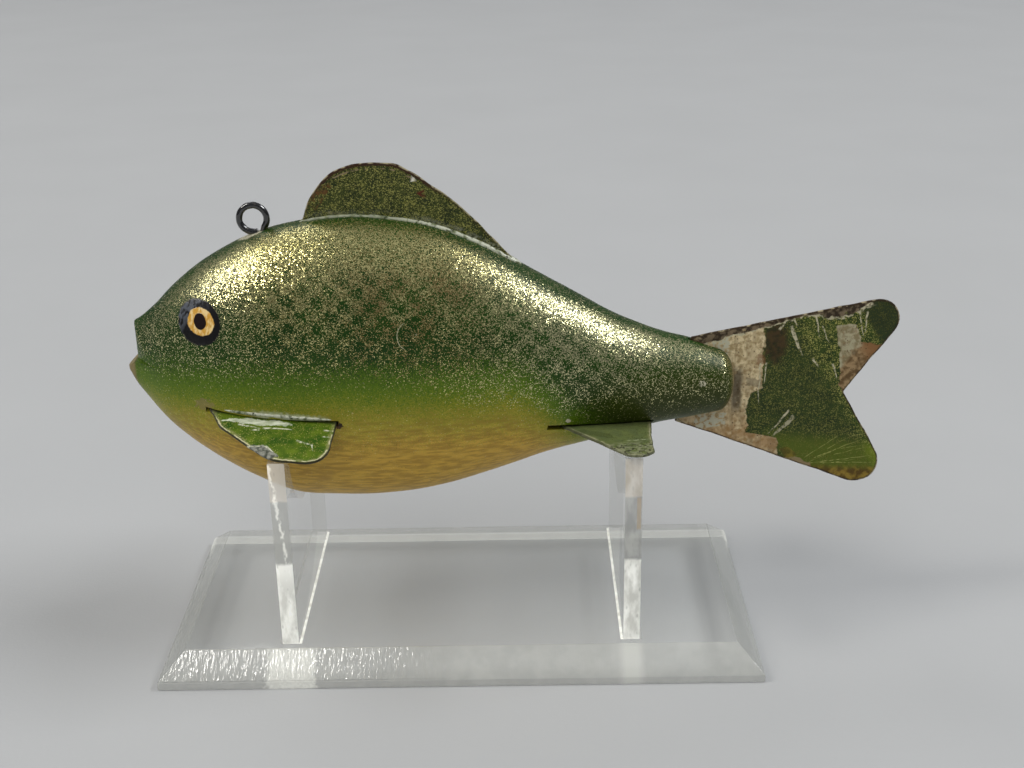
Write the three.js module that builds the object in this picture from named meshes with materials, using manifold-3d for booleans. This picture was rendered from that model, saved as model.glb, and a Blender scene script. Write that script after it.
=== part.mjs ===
// A fish decoy of carved and painted wood with tin fins, resting in a clear stand.
// Millimetres, +Z up. The origin is the centre of the stand's underside and the head points to -X.

import * as THREE from "three";
import { mergeVertices } from "three/addons/utils/BufferGeometryUtils.js";
import Module from "manifold-3d";

// Clearances: around a fin or wire in its kerf, under what rests, and in a cemented joint
const kerfGap = 0.3;
const seatGap = 0.3;
const cementGap = 0.3;

// Wood: its length from the jaw tip to the tail end, its greatest depth and its greatest width
const woodLength = 116;
const bodyDepth = 55.5;
const bodyWidth = 31;
const noseRound = 2.2;
const endRound = 3;

// The carved form. Places are shares of the wood's length behind the jaw tip. Heights above and
// below the jaw tip are shares of the body's depth, and half widths are shares of the greatest one.
const backHeights = [
  [0, 0.165], [0.017, 0.165], [0.045, 0.206], [0.082, 0.281], [0.117, 0.341], [0.152, 0.39],
  [0.224, 0.464], [0.301, 0.502], [0.373, 0.518], [0.429, 0.511], [0.507, 0.482], [0.57, 0.431],
  [0.64, 0.352], [0.73, 0.242], [0.802, 0.155], [0.877, 0.089], [0.927, 0.061], [1, 0.01],
];
const bellyDepths = [
  [0, 0.02], [0.006, 0.03], [0.013, 0.058], [0.028, 0.108], [0.057, 0.19], [0.09, 0.257],
  [0.15, 0.352], [0.2, 0.415], [0.264, 0.476], [0.334, 0.49], [0.42, 0.489], [0.507, 0.462],
  [0.593, 0.408], [0.68, 0.342], [0.76, 0.297], [0.88, 0.232], [0.94, 0.213], [1, 0.19],
];
const widestLevels = [
  [0, 0], [0.12, 0.008], [0.37, -0.01], [0.54, -0.02], [0.72, -0.045], [0.88, -0.07], [1, -0.08],
];
const halfWidths = [
  [0, 0.2], [0.017, 0.25], [0.035, 0.34], [0.069, 0.52], [0.112, 0.68], [0.155, 0.81], [0.2, 0.9],
  [0.285, 0.98], [0.37, 1], [0.457, 0.98], [0.543, 0.93], [0.63, 0.85], [0.716, 0.75], [0.8, 0.65],
  [0.888, 0.52], [1, 0.35],
];

// Mouth: the snout is cut back in a curve above the lower lip, which stands forward
const mouthDepth = 1.95;
const mouthRise = 2;
const lipEdge = 0.3;
const snoutCurve = 5.2;
const snoutHalf = 8;

// Tin
const tinThickness = 0.5;

// Dorsal fin: its front foot is a share of the wood's length, its height is over the line of its feet
const dorsalStart = 0.302;
const dorsalLength = 39.5;
const dorsalHeight = 14.2;
const dorsalTab = 3;
const dorsalEdge = [
  [0, 0], [0.04, 0.31], [0.13, 0.67], [0.25, 0.89], [0.42, 1], [0.5, 0.965], [0.61, 0.82],
  [0.75, 0.59], [1, 0],
];

// Tail fin: let into the wood's end, with corners in shares of its length and of its span
const tailInlay = 11.1;
const tailLength = 42;
const tailSpan = 37.9;
const tailCorners = [
  [0, -0.238, 0], [1.09, -0.708, 0.104], [0.77, -0.09, 0.014], [1.124, 0.455, 0.095], [0.062, 0.22, 0],
];

// Side fins: where the root starts and ends, in shares of the wood's length and of the body's depth,
// and corners in shares of the root's length and of the fin's reach
const pectoral = {
  rootStart: [0.148, -0.086],
  rootEnd: [0.354, -0.115],
  reach: 9.9,
  tab: 4.5,
  overrun: 0.5,
  corners: [[0, 0, 0], [0.116, 0.37, 0.3], [0.56, 1, 1], [1.005, 1, 0.42], [1, 0, 0]],
};
const pelvic = {
  rootStart: [0.7135, -0.181],
  rootEnd: [0.86, -0.203],
  reach: 17.8,
  tab: 2.8,
  overrun: 2.7,
  corners: [[0, 0, 0], [0.47, 1.05, 0.16], [0.71, 0.86, 0.07], [0.85, 0.4, 0], [1, 0, 0]],
};

// Screw eye: its place is a share of the wood's length, and its ring's centre stands over the back
const eyePlace = 0.2245;
const eyeStand = 2.75;
const eyeOutside = 6.35;
const wireThickness = 1.27;
const shankOffset = 1.75;
const shankDepth = 9;
const ringStart = -86;
const ringEnd = -395;

// Stand: two uprights with saddles, cemented to a bevelled base, all of clear sheet
const saddleSlack = 2.5;
const saddleDepth = 16.2;
const armWidth = 4.5;
const armRound = 1;
const uprightThickness = 3.2;
const uprightHeight = 38.1;
const uprightSpacing = 64.8;
const snoutOverhang = 30.45;
const baseThickness = 5.9;
const baseLip = 1.5;
const baseBevel = 4.7;
const baseSideMargin = 1.375;
const baseEndMargin = 18.45;

// How finely each curve is cut
const bodyStations = 46;
const bodySides = 40;
const snoutSteps = 16;
const cornerSteps = 6;
const dorsalSteps = 28;
const saddleSteps = 24;
const ringSteps = 22;
const wireSteps = 56;
const wireArcSteps = 5;

// What follows from those sizes
const wireRadius = wireThickness / 2;
const ringRadius = eyeOutside / 2 - wireRadius;
const saddleRadius = bodyWidth / 2 + saddleSlack;
const uprightWidth = 2 * (saddleRadius + armWidth);
const saddleCentre = uprightHeight - saddleDepth + saddleRadius;
const armInside = Math.sqrt(saddleRadius ** 2 - (saddleCentre - uprightHeight) ** 2);
const baseLength = uprightSpacing + uprightThickness + 2 * (baseEndMargin + baseBevel);
const baseWidth = uprightWidth + 2 * (baseSideMargin + baseBevel);

// A smooth function through pairs of place and value
function through(pairs) {
  const places = Float32Array.from(pairs, (pair) => pair[0]);
  const values = Float32Array.from(pairs, (pair) => pair[1]);
  const curve = new THREE.CubicInterpolant(places, values, 1);
  return (place) => curve.evaluate(place)[0];
}

const backAt = through(backHeights);
const bellyAt = through(bellyDepths);
const widestAt = through(widestLevels);
const widthAt = through(halfWidths);

// A quarter ellipse: how far the wood has opened out at some way in from a rounded end
function rounding(wayIn, round) {
  const left = 1 - Math.min(wayIn / round, 1);
  return Math.sqrt(1 - left * left);
}

// The wood's section at x behind the jaw tip, with heights measured from the jaw tip
function sectionAt(x) {
  const share = x / woodLength;
  const open = rounding(x, noseRound) * rounding(woodLength - x, endRound);
  const middle = widestAt(share) * bodyDepth;
  return {
    middle,
    up: (backAt(share) * bodyDepth - middle) * open,
    down: (bellyAt(share) * bodyDepth + middle) * open,
    half: (widthAt(share) * bodyWidth * open) / 2,
  };
}

function backLevel(x) {
  const section = sectionAt(x);
  return section.middle + section.up;
}

function bellyLevel(x) {
  const section = sectionAt(x);
  return section.middle - section.down;
}

// A point on the wood's surface, on the side of +Y for side 1 and of -Y for side -1
function surfacePoint([place, height], side) {
  const x = place * woodLength;
  const z = height * bodyDepth;
  const section = sectionAt(x);
  const rise = (z - section.middle) / (z > section.middle ? section.up : section.down);
  return new THREE.Vector3(x, side * section.half * Math.sqrt(1 - rise * rise), z);
}

// The fish is modelled from its jaw tip, and lies with its belly on the bottom of the front saddle
const restBelly = Math.min(
  bellyLevel(snoutOverhang - uprightThickness / 2),
  bellyLevel(snoutOverhang + uprightThickness / 2),
);
const fish = new THREE.Group();
fish.position.set(
  -uprightSpacing / 2 - snoutOverhang,
  0,
  baseThickness + uprightHeight - saddleDepth + seatGap - restBelly,
);
const stand = new THREE.Group();

// A closed skin over rings of points, in which an end ring may be a single point
function loft(rings) {
  const index = [];
  let start = 0;
  for (let step = 0; step + 1 < rings.length; step += 1) {
    const here = rings[step].length;
    const next = rings[step + 1].length;
    for (let turn = 0; turn < Math.max(here, next); turn += 1) {
      const a = start + (turn % here);
      const b = start + ((turn + 1) % here);
      const c = start + here + (turn % next);
      const d = start + here + ((turn + 1) % next);
      if (here > 1) {
        index.push(a, b, d);
      }
      if (next > 1) {
        index.push(a, d, c);
      }
    }
    start += here;
  }
  for (let turn = 1; turn + 1 < rings[0].length; turn += 1) {
    index.push(0, turn + 1, turn);
  }
  for (let turn = 1; turn + 1 < rings.at(-1).length; turn += 1) {
    index.push(start, start + turn, start + turn + 1);
  }
  const geometry = new THREE.BufferGeometry();
  geometry.setFromPoints(rings.flat());
  geometry.setIndex(index);
  return geometry;
}

// A closed outline through corners of [along, up, radius], each rounded to its radius
function roundedOutline(corners) {
  const points = corners.flatMap(([x, y, radius], place) => {
    const corner = new THREE.Vector2(x, y);
    if (!radius) {
      return [corner];
    }
    const before = new THREE.Vector2(...corners.at(place - 1)).sub(corner).normalize();
    const after = new THREE.Vector2(...corners[(place + 1) % corners.length]).sub(corner).normalize();
    const half = before.angleTo(after) / 2;
    const turn = (Math.PI - 2 * half) * Math.sign(after.cross(before));
    const start = corner.clone().addScaledVector(before, radius / Math.tan(half));
    const centre = before.clone().add(after).setLength(radius / Math.sin(half)).add(corner);
    return Array.from({ length: cornerSteps + 1 }, (_, step) => {
      return start.clone().rotateAround(centre, (turn * step) / cornerSteps);
    });
  });
  return new THREE.Shape(points);
}

// A flat plate of some outline, with its middle in the outline's plane
function flatPlate(outline, thickness) {
  const geometry = new THREE.ExtrudeGeometry(outline, { depth: thickness, bevelEnabled: false });
  return geometry.translate(0, 0, -thickness / 2);
}

// The same plate stood up in the fish's middle plane, with the outline's height along Z
function uprightPlate(outline, thickness) {
  return flatPlate(outline, thickness).rotateX(Math.PI / 2);
}

// Closed meshes as solids, for cutting, and back
const wasm = await Module();
wasm.setup();

function solidOf(geometry) {
  const bare = geometry.clone();
  bare.deleteAttribute("normal");
  bare.deleteAttribute("uv");
  const merged = mergeVertices(bare);
  return new wasm.Manifold(
    new wasm.Mesh({
      numProp: 3,
      vertProperties: Float32Array.from(merged.attributes.position.array),
      triVerts: Uint32Array.from(merged.index.array),
    }),
  );
}

function geometryOf(solid) {
  const mesh = solid.getMesh();
  const geometry = new THREE.BufferGeometry();
  geometry.setAttribute("position", new THREE.BufferAttribute(mesh.vertProperties, 3));
  geometry.setIndex(Array.from(mesh.triVerts));
  return geometry;
}

function addPiece(group, name, geometry, look) {
  const mesh = new THREE.Mesh(geometry, new THREE.MeshStandardMaterial(look));
  mesh.name = name;
  group.add(mesh);
}

const paintedWood = { color: 0x4a6428, roughness: 0.35, metalness: 0.2 };
const paintedTin = { color: 0x50702c, roughness: 0.4, metalness: 0.3 };
const blackWire = { color: 0x151515, roughness: 0.25, metalness: 0.6 };
const clearSheet = { color: 0xeef2f2, roughness: 0.05, metalness: 0, transparent: true, opacity: 0.3 };

// Wood as carved, before it is cut
function carvedWood() {
  const rings = [[new THREE.Vector3(0, 0, sectionAt(0).middle)]];
  for (let station = 1; station < bodyStations; station += 1) {
    const x = (woodLength * (1 - Math.cos((station / bodyStations) * Math.PI))) / 2;
    const section = sectionAt(x);
    const ring = [];
    for (let turn = 0; turn < bodySides; turn += 1) {
      const angle = (turn / bodySides) * 2 * Math.PI;
      const rise = Math.sin(angle);
      const height = section.middle + rise * (rise > 0 ? section.up : section.down);
      ring.push(new THREE.Vector3(x, section.half * Math.cos(angle), height));
    }
    rings.push(ring);
  }
  rings.push([new THREE.Vector3(woodLength, 0, sectionAt(woodLength).middle)]);
  return loft(rings);
}

// What the mouth cut takes away: all in front of the snout's curved face that is above the lower lip
function mouthCut() {
  const face = Array.from({ length: snoutSteps + 1 }, (_, step) => {
    const y = THREE.MathUtils.lerp(-snoutHalf, snoutHalf, step / snoutSteps);
    return new THREE.Vector2(mouthDepth + y ** 2 / (2 * snoutCurve), y);
  });
  const front = [snoutHalf, -snoutHalf].map((y) => new THREE.Vector2(-mouthDepth, y));
  const inFront = flatPlate(new THREE.Shape([...face, ...front]), 2 * bodyDepth);
  const behind = face[0].x + snoutHalf;
  const lip = [
    [-mouthDepth, 2 * lipEdge - mouthRise],
    [mouthDepth, mouthRise],
    [behind, mouthRise],
    [behind, bodyDepth],
    [-mouthDepth, bodyDepth],
  ];
  const aboveLip = new THREE.Shape(lip.map(([x, z]) => new THREE.Vector2(x, z)));
  return solidOf(inFront).intersect(solidOf(uprightPlate(aboveLip, 2 * bodyWidth)));
}

// Dorsal fin: shares along the line of its feet and of its height, as points in the middle plane
const dorsalFront = dorsalStart * woodLength;
const dorsalRear = dorsalFront + dorsalLength;

function dorsalPoint(along, up) {
  const foot = THREE.MathUtils.lerp(backLevel(dorsalFront), backLevel(dorsalRear), along);
  return new THREE.Vector2(dorsalFront + along * dorsalLength, foot + up * dorsalHeight);
}

function dorsalFin() {
  const edge = new THREE.SplineCurve(dorsalEdge.map(([along, up]) => dorsalPoint(along, up)));
  const tab = [1, 0].map((along) => dorsalPoint(along, -dorsalTab / dorsalHeight));
  return uprightPlate(new THREE.Shape([...edge.getPoints(dorsalSteps), ...tab]), tinThickness);
}

function dorsalKerf() {
  const ends = [-kerfGap / dorsalLength, 1 + kerfGap / dorsalLength];
  const floor = ends.map((along) => dorsalPoint(along, -(dorsalTab + kerfGap) / dorsalHeight));
  const top = ends.toReversed().map((along) => dorsalPoint(along, 1));
  return uprightPlate(new THREE.Shape([...floor, ...top]), tinThickness + 2 * kerfGap);
}

// Tail fin: let into the wood's end at the level of the wood's middle there
const tailFront = woodLength - tailInlay;
const tailLevel = sectionAt(woodLength).middle;
const tailPoints = tailCorners.map(([along, up, radius]) => {
  return [tailFront + along * tailLength, tailLevel + up * tailSpan, radius * tailLength];
});

function tailFin() {
  return uprightPlate(roundedOutline(tailPoints), tinThickness);
}

// The tail's kerf runs through the wood from top to bottom, its floor along the plate's front edge
function tailKerf() {
  const bottom = new THREE.Vector2(...tailPoints.at(0));
  const top = new THREE.Vector2(...tailPoints.at(-1));
  const slope = top.clone().sub(bottom).normalize();
  const back = new THREE.Vector2(-slope.y, slope.x).multiplyScalar(kerfGap);
  const high = top.clone().addScaledVector(slope, bodyDepth).add(back);
  const low = bottom.clone().addScaledVector(slope, -bodyDepth).add(back);
  const behind = new THREE.Vector2(woodLength + endRound, 0);
  const outline = [low, new THREE.Vector2(behind.x, low.y), new THREE.Vector2(behind.x, high.y), high];
  return uprightPlate(new THREE.Shape(outline), tinThickness + 2 * kerfGap);
}

// Side fins: each lies in the plane of its root and of the arm corner that it rests on
function sidePlane(fin, side, armX, armY) {
  const start = surfacePoint(fin.rootStart, side);
  const end = surfacePoint(fin.rootEnd, side);
  const armTop = baseThickness + uprightHeight + seatGap + tinThickness / 2;
  const seat = new THREE.Vector3(armX + uprightThickness / 2, side * armY, armTop).sub(fish.position);
  const along = end.clone().sub(start);
  const rootLength = along.length();
  along.normalize();
  const out = seat.sub(start);
  out.addScaledVector(along, -out.dot(along)).normalize();
  const normal = along.clone().cross(out);
  return { rootLength, place: new THREE.Matrix4().makeBasis(along, out, normal).setPosition(start) };
}

function sideFin(fin, plane) {
  const edge = fin.corners.map(([along, out, radius]) => {
    return [along * plane.rootLength, out * fin.reach, radius * fin.reach];
  });
  const tab = [[plane.rootLength, -fin.tab, 0], [0, -fin.tab, 0]];
  return flatPlate(roundedOutline([...edge, ...tab]), tinThickness).applyMatrix4(plane.place);
}

// A sawn slot for a side fin, which runs on in front of it by the saw's overrun
function sideSlot(fin, plane) {
  const front = -fin.overrun - kerfGap;
  const back = plane.rootLength + kerfGap;
  const floor = -fin.tab - kerfGap;
  const corners = [[front, floor], [back, floor], [back, fin.reach], [front, fin.reach]];
  const outline = new THREE.Shape(corners.map(([x, y]) => new THREE.Vector2(x, y)));
  return flatPlate(outline, tinThickness + 2 * kerfGap).applyMatrix4(plane.place);
}

// Screw eye: the wire runs from the ring's open end round the ring and straight down its shank
function wireAlongEye(radius, extraDepth) {
  const centre = new THREE.Vector3(eyePlace * woodLength, 0, backLevel(eyePlace * woodLength) + eyeStand);
  const points = [];
  for (let step = 0; step <= ringSteps; step += 1) {
    const angle = THREE.MathUtils.degToRad(THREE.MathUtils.lerp(ringStart, ringEnd, step / ringSteps));
    points.push(new THREE.Vector3(Math.cos(angle), 0, Math.sin(angle)).multiplyScalar(ringRadius));
  }
  const shankTop = -ringRadius - wireRadius / 2;
  const shankEnd = -eyeStand - shankDepth - extraDepth;
  for (const share of [0, 0.15, 0.6, 1]) {
    points.push(new THREE.Vector3(shankOffset, 0, THREE.MathUtils.lerp(shankTop, shankEnd, share)));
  }
  const path = new THREE.CatmullRomCurve3(points.map((point) => point.add(centre)));
  const section = new THREE.Shape().absarc(0, 0, radius, 0, 2 * Math.PI);
  return new THREE.ExtrudeGeometry(section, { steps: wireSteps, curveSegments: wireArcSteps, extrudePath: path });
}

// Stand pieces
function upright(x) {
  const half = uprightWidth / 2;
  const bottom = cementGap;
  const end = Math.asin(armInside / saddleRadius);
  const saddle = Array.from({ length: saddleSteps + 1 }, (_, step) => {
    const angle = THREE.MathUtils.lerp(end, -end, step / saddleSteps);
    return [saddleRadius * Math.sin(angle), saddleCentre - saddleRadius * Math.cos(angle), 0];
  });
  const outline = roundedOutline([
    [-half, bottom, 0],
    [half, bottom, 0],
    [half, uprightHeight, armRound],
    ...saddle,
    [-half, uprightHeight, armRound],
  ]);
  const standing = new THREE.Matrix4().makeBasis(
    new THREE.Vector3(0, 1, 0),
    new THREE.Vector3(0, 0, 1),
    new THREE.Vector3(1, 0, 0),
  );
  return flatPlate(outline, uprightThickness).applyMatrix4(standing).translate(x, 0, baseThickness);
}

function base() {
  const ring = (inset, z) => {
    const x = baseLength / 2 - inset;
    const y = baseWidth / 2 - inset;
    return [[-x, -y], [x, -y], [x, y], [-x, y]].map((corner) => new THREE.Vector3(...corner, z));
  };
  return loft([ring(0, 0), ring(0, baseLip), ring(baseBevel, baseThickness)]);
}

// The fish
const frontArm = -uprightSpacing / 2;
const rearArm = uprightSpacing / 2;
const sideFins = [
  { name: "pectoral_fin_left", fin: pectoral, plane: sidePlane(pectoral, -1, frontArm, uprightWidth / 2) },
  { name: "pectoral_fin_right", fin: pectoral, plane: sidePlane(pectoral, 1, frontArm, uprightWidth / 2) },
  { name: "pelvic_fin_left", fin: pelvic, plane: sidePlane(pelvic, -1, rearArm, armInside) },
  { name: "pelvic_fin_right", fin: pelvic, plane: sidePlane(pelvic, 1, rearArm, armInside) },
];
const kerfs = [
  dorsalKerf(),
  tailKerf(),
  wireAlongEye(wireRadius + kerfGap, kerfGap),
  ...sideFins.map(({ fin, plane }) => sideSlot(fin, plane)),
];
const carved = solidOf(carvedWood()).subtract(mouthCut());
const wood = kerfs.reduce((solid, kerf) => solid.subtract(solidOf(kerf)), carved);

addPiece(fish, "body", geometryOf(wood), paintedWood);
addPiece(fish, "dorsal_fin", dorsalFin(), paintedTin);
addPiece(fish, "tail_fin", tailFin(), paintedTin);
for (const { name, fin, plane } of sideFins) {
  addPiece(fish, name, sideFin(fin, plane), paintedTin);
}
addPiece(fish, "line_tie", wireAlongEye(wireRadius, 0), blackWire);

// The stand
addPiece(stand, "stand_base", base(), clearSheet);
addPiece(stand, "stand_upright_front", upright(frontArm), clearSheet);
addPiece(stand, "stand_upright_rear", upright(rearArm), clearSheet);

const group = new THREE.Group();
group.add(fish, stand);
export default group;
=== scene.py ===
import math
from bisect import bisect_right

import bpy
from mathutils import Matrix, Vector, kdtree, noise
from mathutils.geometry import intersect_point_line


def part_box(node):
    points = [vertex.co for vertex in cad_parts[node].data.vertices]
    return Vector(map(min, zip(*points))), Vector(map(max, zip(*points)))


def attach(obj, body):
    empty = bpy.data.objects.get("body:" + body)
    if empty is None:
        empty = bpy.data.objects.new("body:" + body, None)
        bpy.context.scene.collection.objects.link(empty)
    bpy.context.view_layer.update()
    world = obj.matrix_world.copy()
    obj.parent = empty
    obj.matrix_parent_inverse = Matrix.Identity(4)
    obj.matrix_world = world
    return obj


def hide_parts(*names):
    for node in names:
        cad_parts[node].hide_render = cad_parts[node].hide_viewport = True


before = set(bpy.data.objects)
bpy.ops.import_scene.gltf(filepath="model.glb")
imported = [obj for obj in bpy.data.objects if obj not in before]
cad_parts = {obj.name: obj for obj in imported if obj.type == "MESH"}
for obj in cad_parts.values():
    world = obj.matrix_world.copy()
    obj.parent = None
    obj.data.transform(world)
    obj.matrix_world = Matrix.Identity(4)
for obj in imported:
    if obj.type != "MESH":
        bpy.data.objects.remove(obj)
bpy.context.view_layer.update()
mm = 0.001

# Camera
# It stands a little above the fish and looks down on it from its left side, where the lens takes in the
# whole fish and its stand.
camera_place = (12.31 * mm, -257.15 * mm, 155.51 * mm)
to_right = Vector((0.999856, 0.000391, -0.016967))
forward = Vector((-0.006825, 0.924582, -0.380923))
film_width, focal_length = 36, 50.625
nearest, farthest = 0.01, 20
bpy.ops.object.select_all(action="DESELECT")
bpy.ops.object.camera_add(location=camera_place)
camera = bpy.context.object
camera.name = "camera"
camera.data.sensor_width = film_width
camera.data.lens = focal_length
camera.data.clip_start = nearest
camera.data.clip_end = farthest
turn = Matrix((to_right, to_right.cross(forward), -forward)).transposed()
camera.matrix_world = Matrix.Translation(camera.location) @ turn.to_4x4()
bpy.context.scene.camera = camera
bpy.context.scene.view_settings.view_transform = "Standard"


# Table and light
# The stand is on a plain pale grey sheet, under soft lamps overhead and the light of a pale room.
class Value:
    """A value on a surface. Sums on it add the nodes that work it out."""

    def __init__(self, finish, socket):
        self.finish = finish
        self.socket = socket

    def maths(self, operation, first, second=0.0, third=0.0):
        return self.finish.add("ShaderNodeMath", {"operation": operation}, {0: first, 1: second, 2: third})

    def __add__(self, other):
        return self.maths("ADD", self, other)

    def __sub__(self, other):
        return self.maths("SUBTRACT", self, other)

    def __rsub__(self, other):
        return self.maths("SUBTRACT", other, self)

    def __mul__(self, other):
        return self.maths("MULTIPLY", self, other)

    def __truediv__(self, other):
        return self.maths("DIVIDE", self, other)

    def __abs__(self):
        return self.maths("ABSOLUTE", self)

    __radd__ = __add__
    __rmul__ = __mul__

    def most(self, other):
        return self.maths("MAXIMUM", self, other)

    def beside(self, other):
        """How far away it is, from how far along and how far up."""
        return self.maths("SQRT", self * self + other * other)

    def cosine(self):
        return self.maths("COSINE", self)

    def rise(self, start, end):
        """From 0 at start to 1 at end, smoothly."""
        settings = {"interpolation_type": "SMOOTHSTEP", "clamp": False}
        ends = {"Value": self, "From Min": start, "From Max": end}
        return self.finish.add("ShaderNodeMapRange", settings, ends)

    def parts(self):
        return [self.finish.add("ShaderNodeSeparateXYZ", {}, {0: self}, output) for output in range(3)]


class Finish:
    """The finish of a surface: a material, and what is worked out for it at each place, in millimetres."""

    def __init__(self, name, plain):
        self.material = bpy.data.materials.new(name)
        self.material.use_nodes = True
        self.tree = self.material.node_tree
        self.shader = self.tree.nodes["Principled BSDF"]
        for socket, value in plain.items():
            self.shader.inputs[socket].default_value = value
        place = self.add("ShaderNodeTexCoord", {}, {}, "Object")
        self.place = self.vector_maths("SCALE", place, 1 / mm)
        self.x, self.y, self.z = self.place.parts()

    def add(self, kind, settings, inputs, output=0):
        node = self.tree.nodes.new(kind)
        for name, value in settings.items():
            setattr(node, name, value)
        for name, value in inputs.items():
            self.give(node.inputs[name], value)
        return Value(self, node.outputs[output])

    def give(self, socket, value):
        if isinstance(value, Value):
            self.tree.links.new(value.socket, socket)
        else:
            socket.default_value = value

    def vector_maths(self, operation, first, second=(0, 0, 0)):
        second_socket = "Scale" if operation == "SCALE" else 1
        return self.add("ShaderNodeVectorMath", {"operation": operation}, {0: first, second_socket: second})

    def feed(self, **values):
        for name, value in values.items():
            self.give(self.shader.inputs[name.replace("_", " ")], value)

    def cloud(self, size, detail=2, where=None):
        """Soft mottling between 0 and 1 with spots of about that size."""
        inputs = {"Vector": where or self.place, "Scale": 1 / size, "Detail": detail}
        return self.add("ShaderNodeTexNoise", {}, inputs)

    def grains(self, size, where=None, output="Color"):
        """Grains of that size, each with its own random colour."""
        inputs = {"Vector": where or self.place, "Scale": 1 / size}
        return self.add("ShaderNodeTexVoronoi", {}, inputs, output)

    def stretched(self, x, y, z):
        """The place, drawn together along each axis, so that what is made from it comes out longer."""
        return self.vector_maths("MULTIPLY", self.place, (x, y, z))

    def blend(self, share, under, over):
        """One colour over another. Each is either worked out on the surface or three screen values."""
        under, over = [tone if isinstance(tone, Value) else screen_colour(*tone) for tone in (under, over)]
        return self.add("ShaderNodeMix", {"data_type": "RGBA"}, {0: share, 6: under, 7: over}, 2)

    def mottled(self, size, detail, start, end, first, second):
        """Two colours in patches of about that size."""
        return self.blend(self.cloud(size, detail).rise(start, end), first, second)

    def tint(self, share, over):
        """Another colour over all that is painted so far."""
        self.surface = self.blend(share, self.surface, over)

    def tipped(self, speck, share):
        """The way the surface faces, with each grain of powder tipped its own way."""
        tip = self.vector_maths("SCALE", self.vector_maths("SUBTRACT", speck, (0.5, 0.5, 0.5)), share)
        facing = self.add("ShaderNodeNewGeometry", {}, {}, "Normal")
        return self.vector_maths("NORMALIZE", self.vector_maths("ADD", facing, tip))

    def relief(self, height, normal=None):
        """A height in millimetres as a change of the surface's normal."""
        inputs = {"Height": height * mm, "Distance": 1.0, "Strength": 1.0}
        if normal:
            inputs["Normal"] = normal
        return self.add("ShaderNodeBump", {}, inputs)


def screen_colour(red, green, blue):
    """A colour as it is read off a screen, from 0 to 255, as the light that a surface gives back."""
    shares = [value / 255 for value in (red, green, blue)]
    return (*[((share + 0.055) / 1.055) ** 2.4 if share > 0.04045 else share / 12.92 for share in shares], 1)


def dress(piece, finish):
    piece.data.materials.clear()
    piece.data.materials.append(finish.material)


def new_piece(name, add, **sizes):
    """Add a primitive with nothing else selected."""
    bpy.ops.object.select_all(action="DESELECT")
    add(**sizes)
    piece = bpy.context.object
    piece.name = name
    return piece


table_size, table_gap = 6, 0.1 * mm
table = new_piece("table", bpy.ops.mesh.primitive_plane_add, size=table_size, location=(0, 0, -table_gap))
sheet = Finish("grey_sheet", {"Roughness": 0.75, "Specular IOR Level": 0.3})
sheet.feed(
    Base_Color=sheet.blend(sheet.cloud(60, 3), (176, 177, 178), (182, 183, 184)),
    Normal=sheet.relief(sheet.cloud(0.8, 3) * 0.04),
)
dress(table, sheet)

fish_level = 55 * mm


def soft_lamp(name, direction, distance, size, power, tint):
    """A soft lamp that faces the fish from some direction."""
    aim = Vector((0, 0, fish_level))
    away = Vector(direction).normalized()
    lamp = new_piece(name, bpy.ops.object.light_add, type="AREA", location=aim + away * distance)
    lamp.rotation_euler = away.to_track_quat("Z", "Y").to_euler()
    lamp.data.shape = "RECTANGLE"
    lamp.data.size, lamp.data.size_y = size
    lamp.data.energy = power
    lamp.data.color = tint


soft_lamp("lamp_left", (-0.74, -0.12, 0.67), 3, (0.7, 1.1), 36, (1, 0.975, 0.92))
soft_lamp("lamp_right", (0.68, 0.02, 0.7), 3, (1.7, 0.6), 47, (0.97, 0.985, 1))
soft_lamp("lamp_front", (-0.12, -0.62, 0.78), 3, (1.9, 1.9), 26, (1, 0.99, 0.97))
soft_lamp("lamp_behind", (-0.35, 0.58, 0.74), 1.9, (0.6, 0.6), 3, (1, 1, 1))
bpy.data.objects["lamp_front"].visible_glossy = False
room = bpy.data.worlds.new("room")
room.use_nodes = True
ways = room.node_tree.nodes.new("ShaderNodeTexCoord")
heights = room.node_tree.nodes.new("ShaderNodeSeparateXYZ")
walls = room.node_tree.nodes.new("ShaderNodeValToRGB")
low_wall, high_wall = walls.color_ramp.elements
low_wall.position, low_wall.color = 0.05, (0.10, 0.105, 0.11, 1)
high_wall.color = (0.31, 0.32, 0.33, 1)
room.node_tree.links.new(ways.outputs["Generated"], heights.inputs[0])
room.node_tree.links.new(heights.outputs["Z"], walls.inputs[0])
room.node_tree.links.new(walls.outputs[0], room.node_tree.nodes["Background"].inputs["Color"])
bpy.context.scene.world = room

# The fish's body
# One piece of soft wood, carved and sanded round, with a notch for the mouth and saw kerfs for the fins.
# It is painted green over a golden belly, dusted with gold powder through a net, and varnished.
wood_length, wood_depth, wood_width = 116, 55.5, 31
nose_round, end_round = 2.2, 3
skin_segments, skin_rings = 176, 230
carving_waves, carving_fade = ((9, 0.10), (3.2, 0.03)), 6
drawing_scale = 100
tin_thickness, kerf_gap = 0.5, 0.3


def through(*pairs):
    """A smooth line through pairs of place and value."""
    places, values = zip(*pairs)
    steps = range(len(pairs) - 1)
    secants = [(values[k + 1] - values[k]) / (places[k + 1] - places[k]) for k in steps]
    slopes = [secants[0], *[(a + b) / 2 for a, b in zip(secants, secants[1:])], secants[-1]]

    def at(place):
        k = min(max(bisect_right(places, place) - 1, 0), len(secants) - 1)
        width = places[k + 1] - places[k]
        t = (place - places[k]) / width
        start = values[k] * (1 + 2 * t) * (1 - t) ** 2 + slopes[k] * width * t * (1 - t) ** 2
        return start + values[k + 1] * t * t * (3 - 2 * t) + slopes[k + 1] * width * t * t * (t - 1)

    return at


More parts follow.
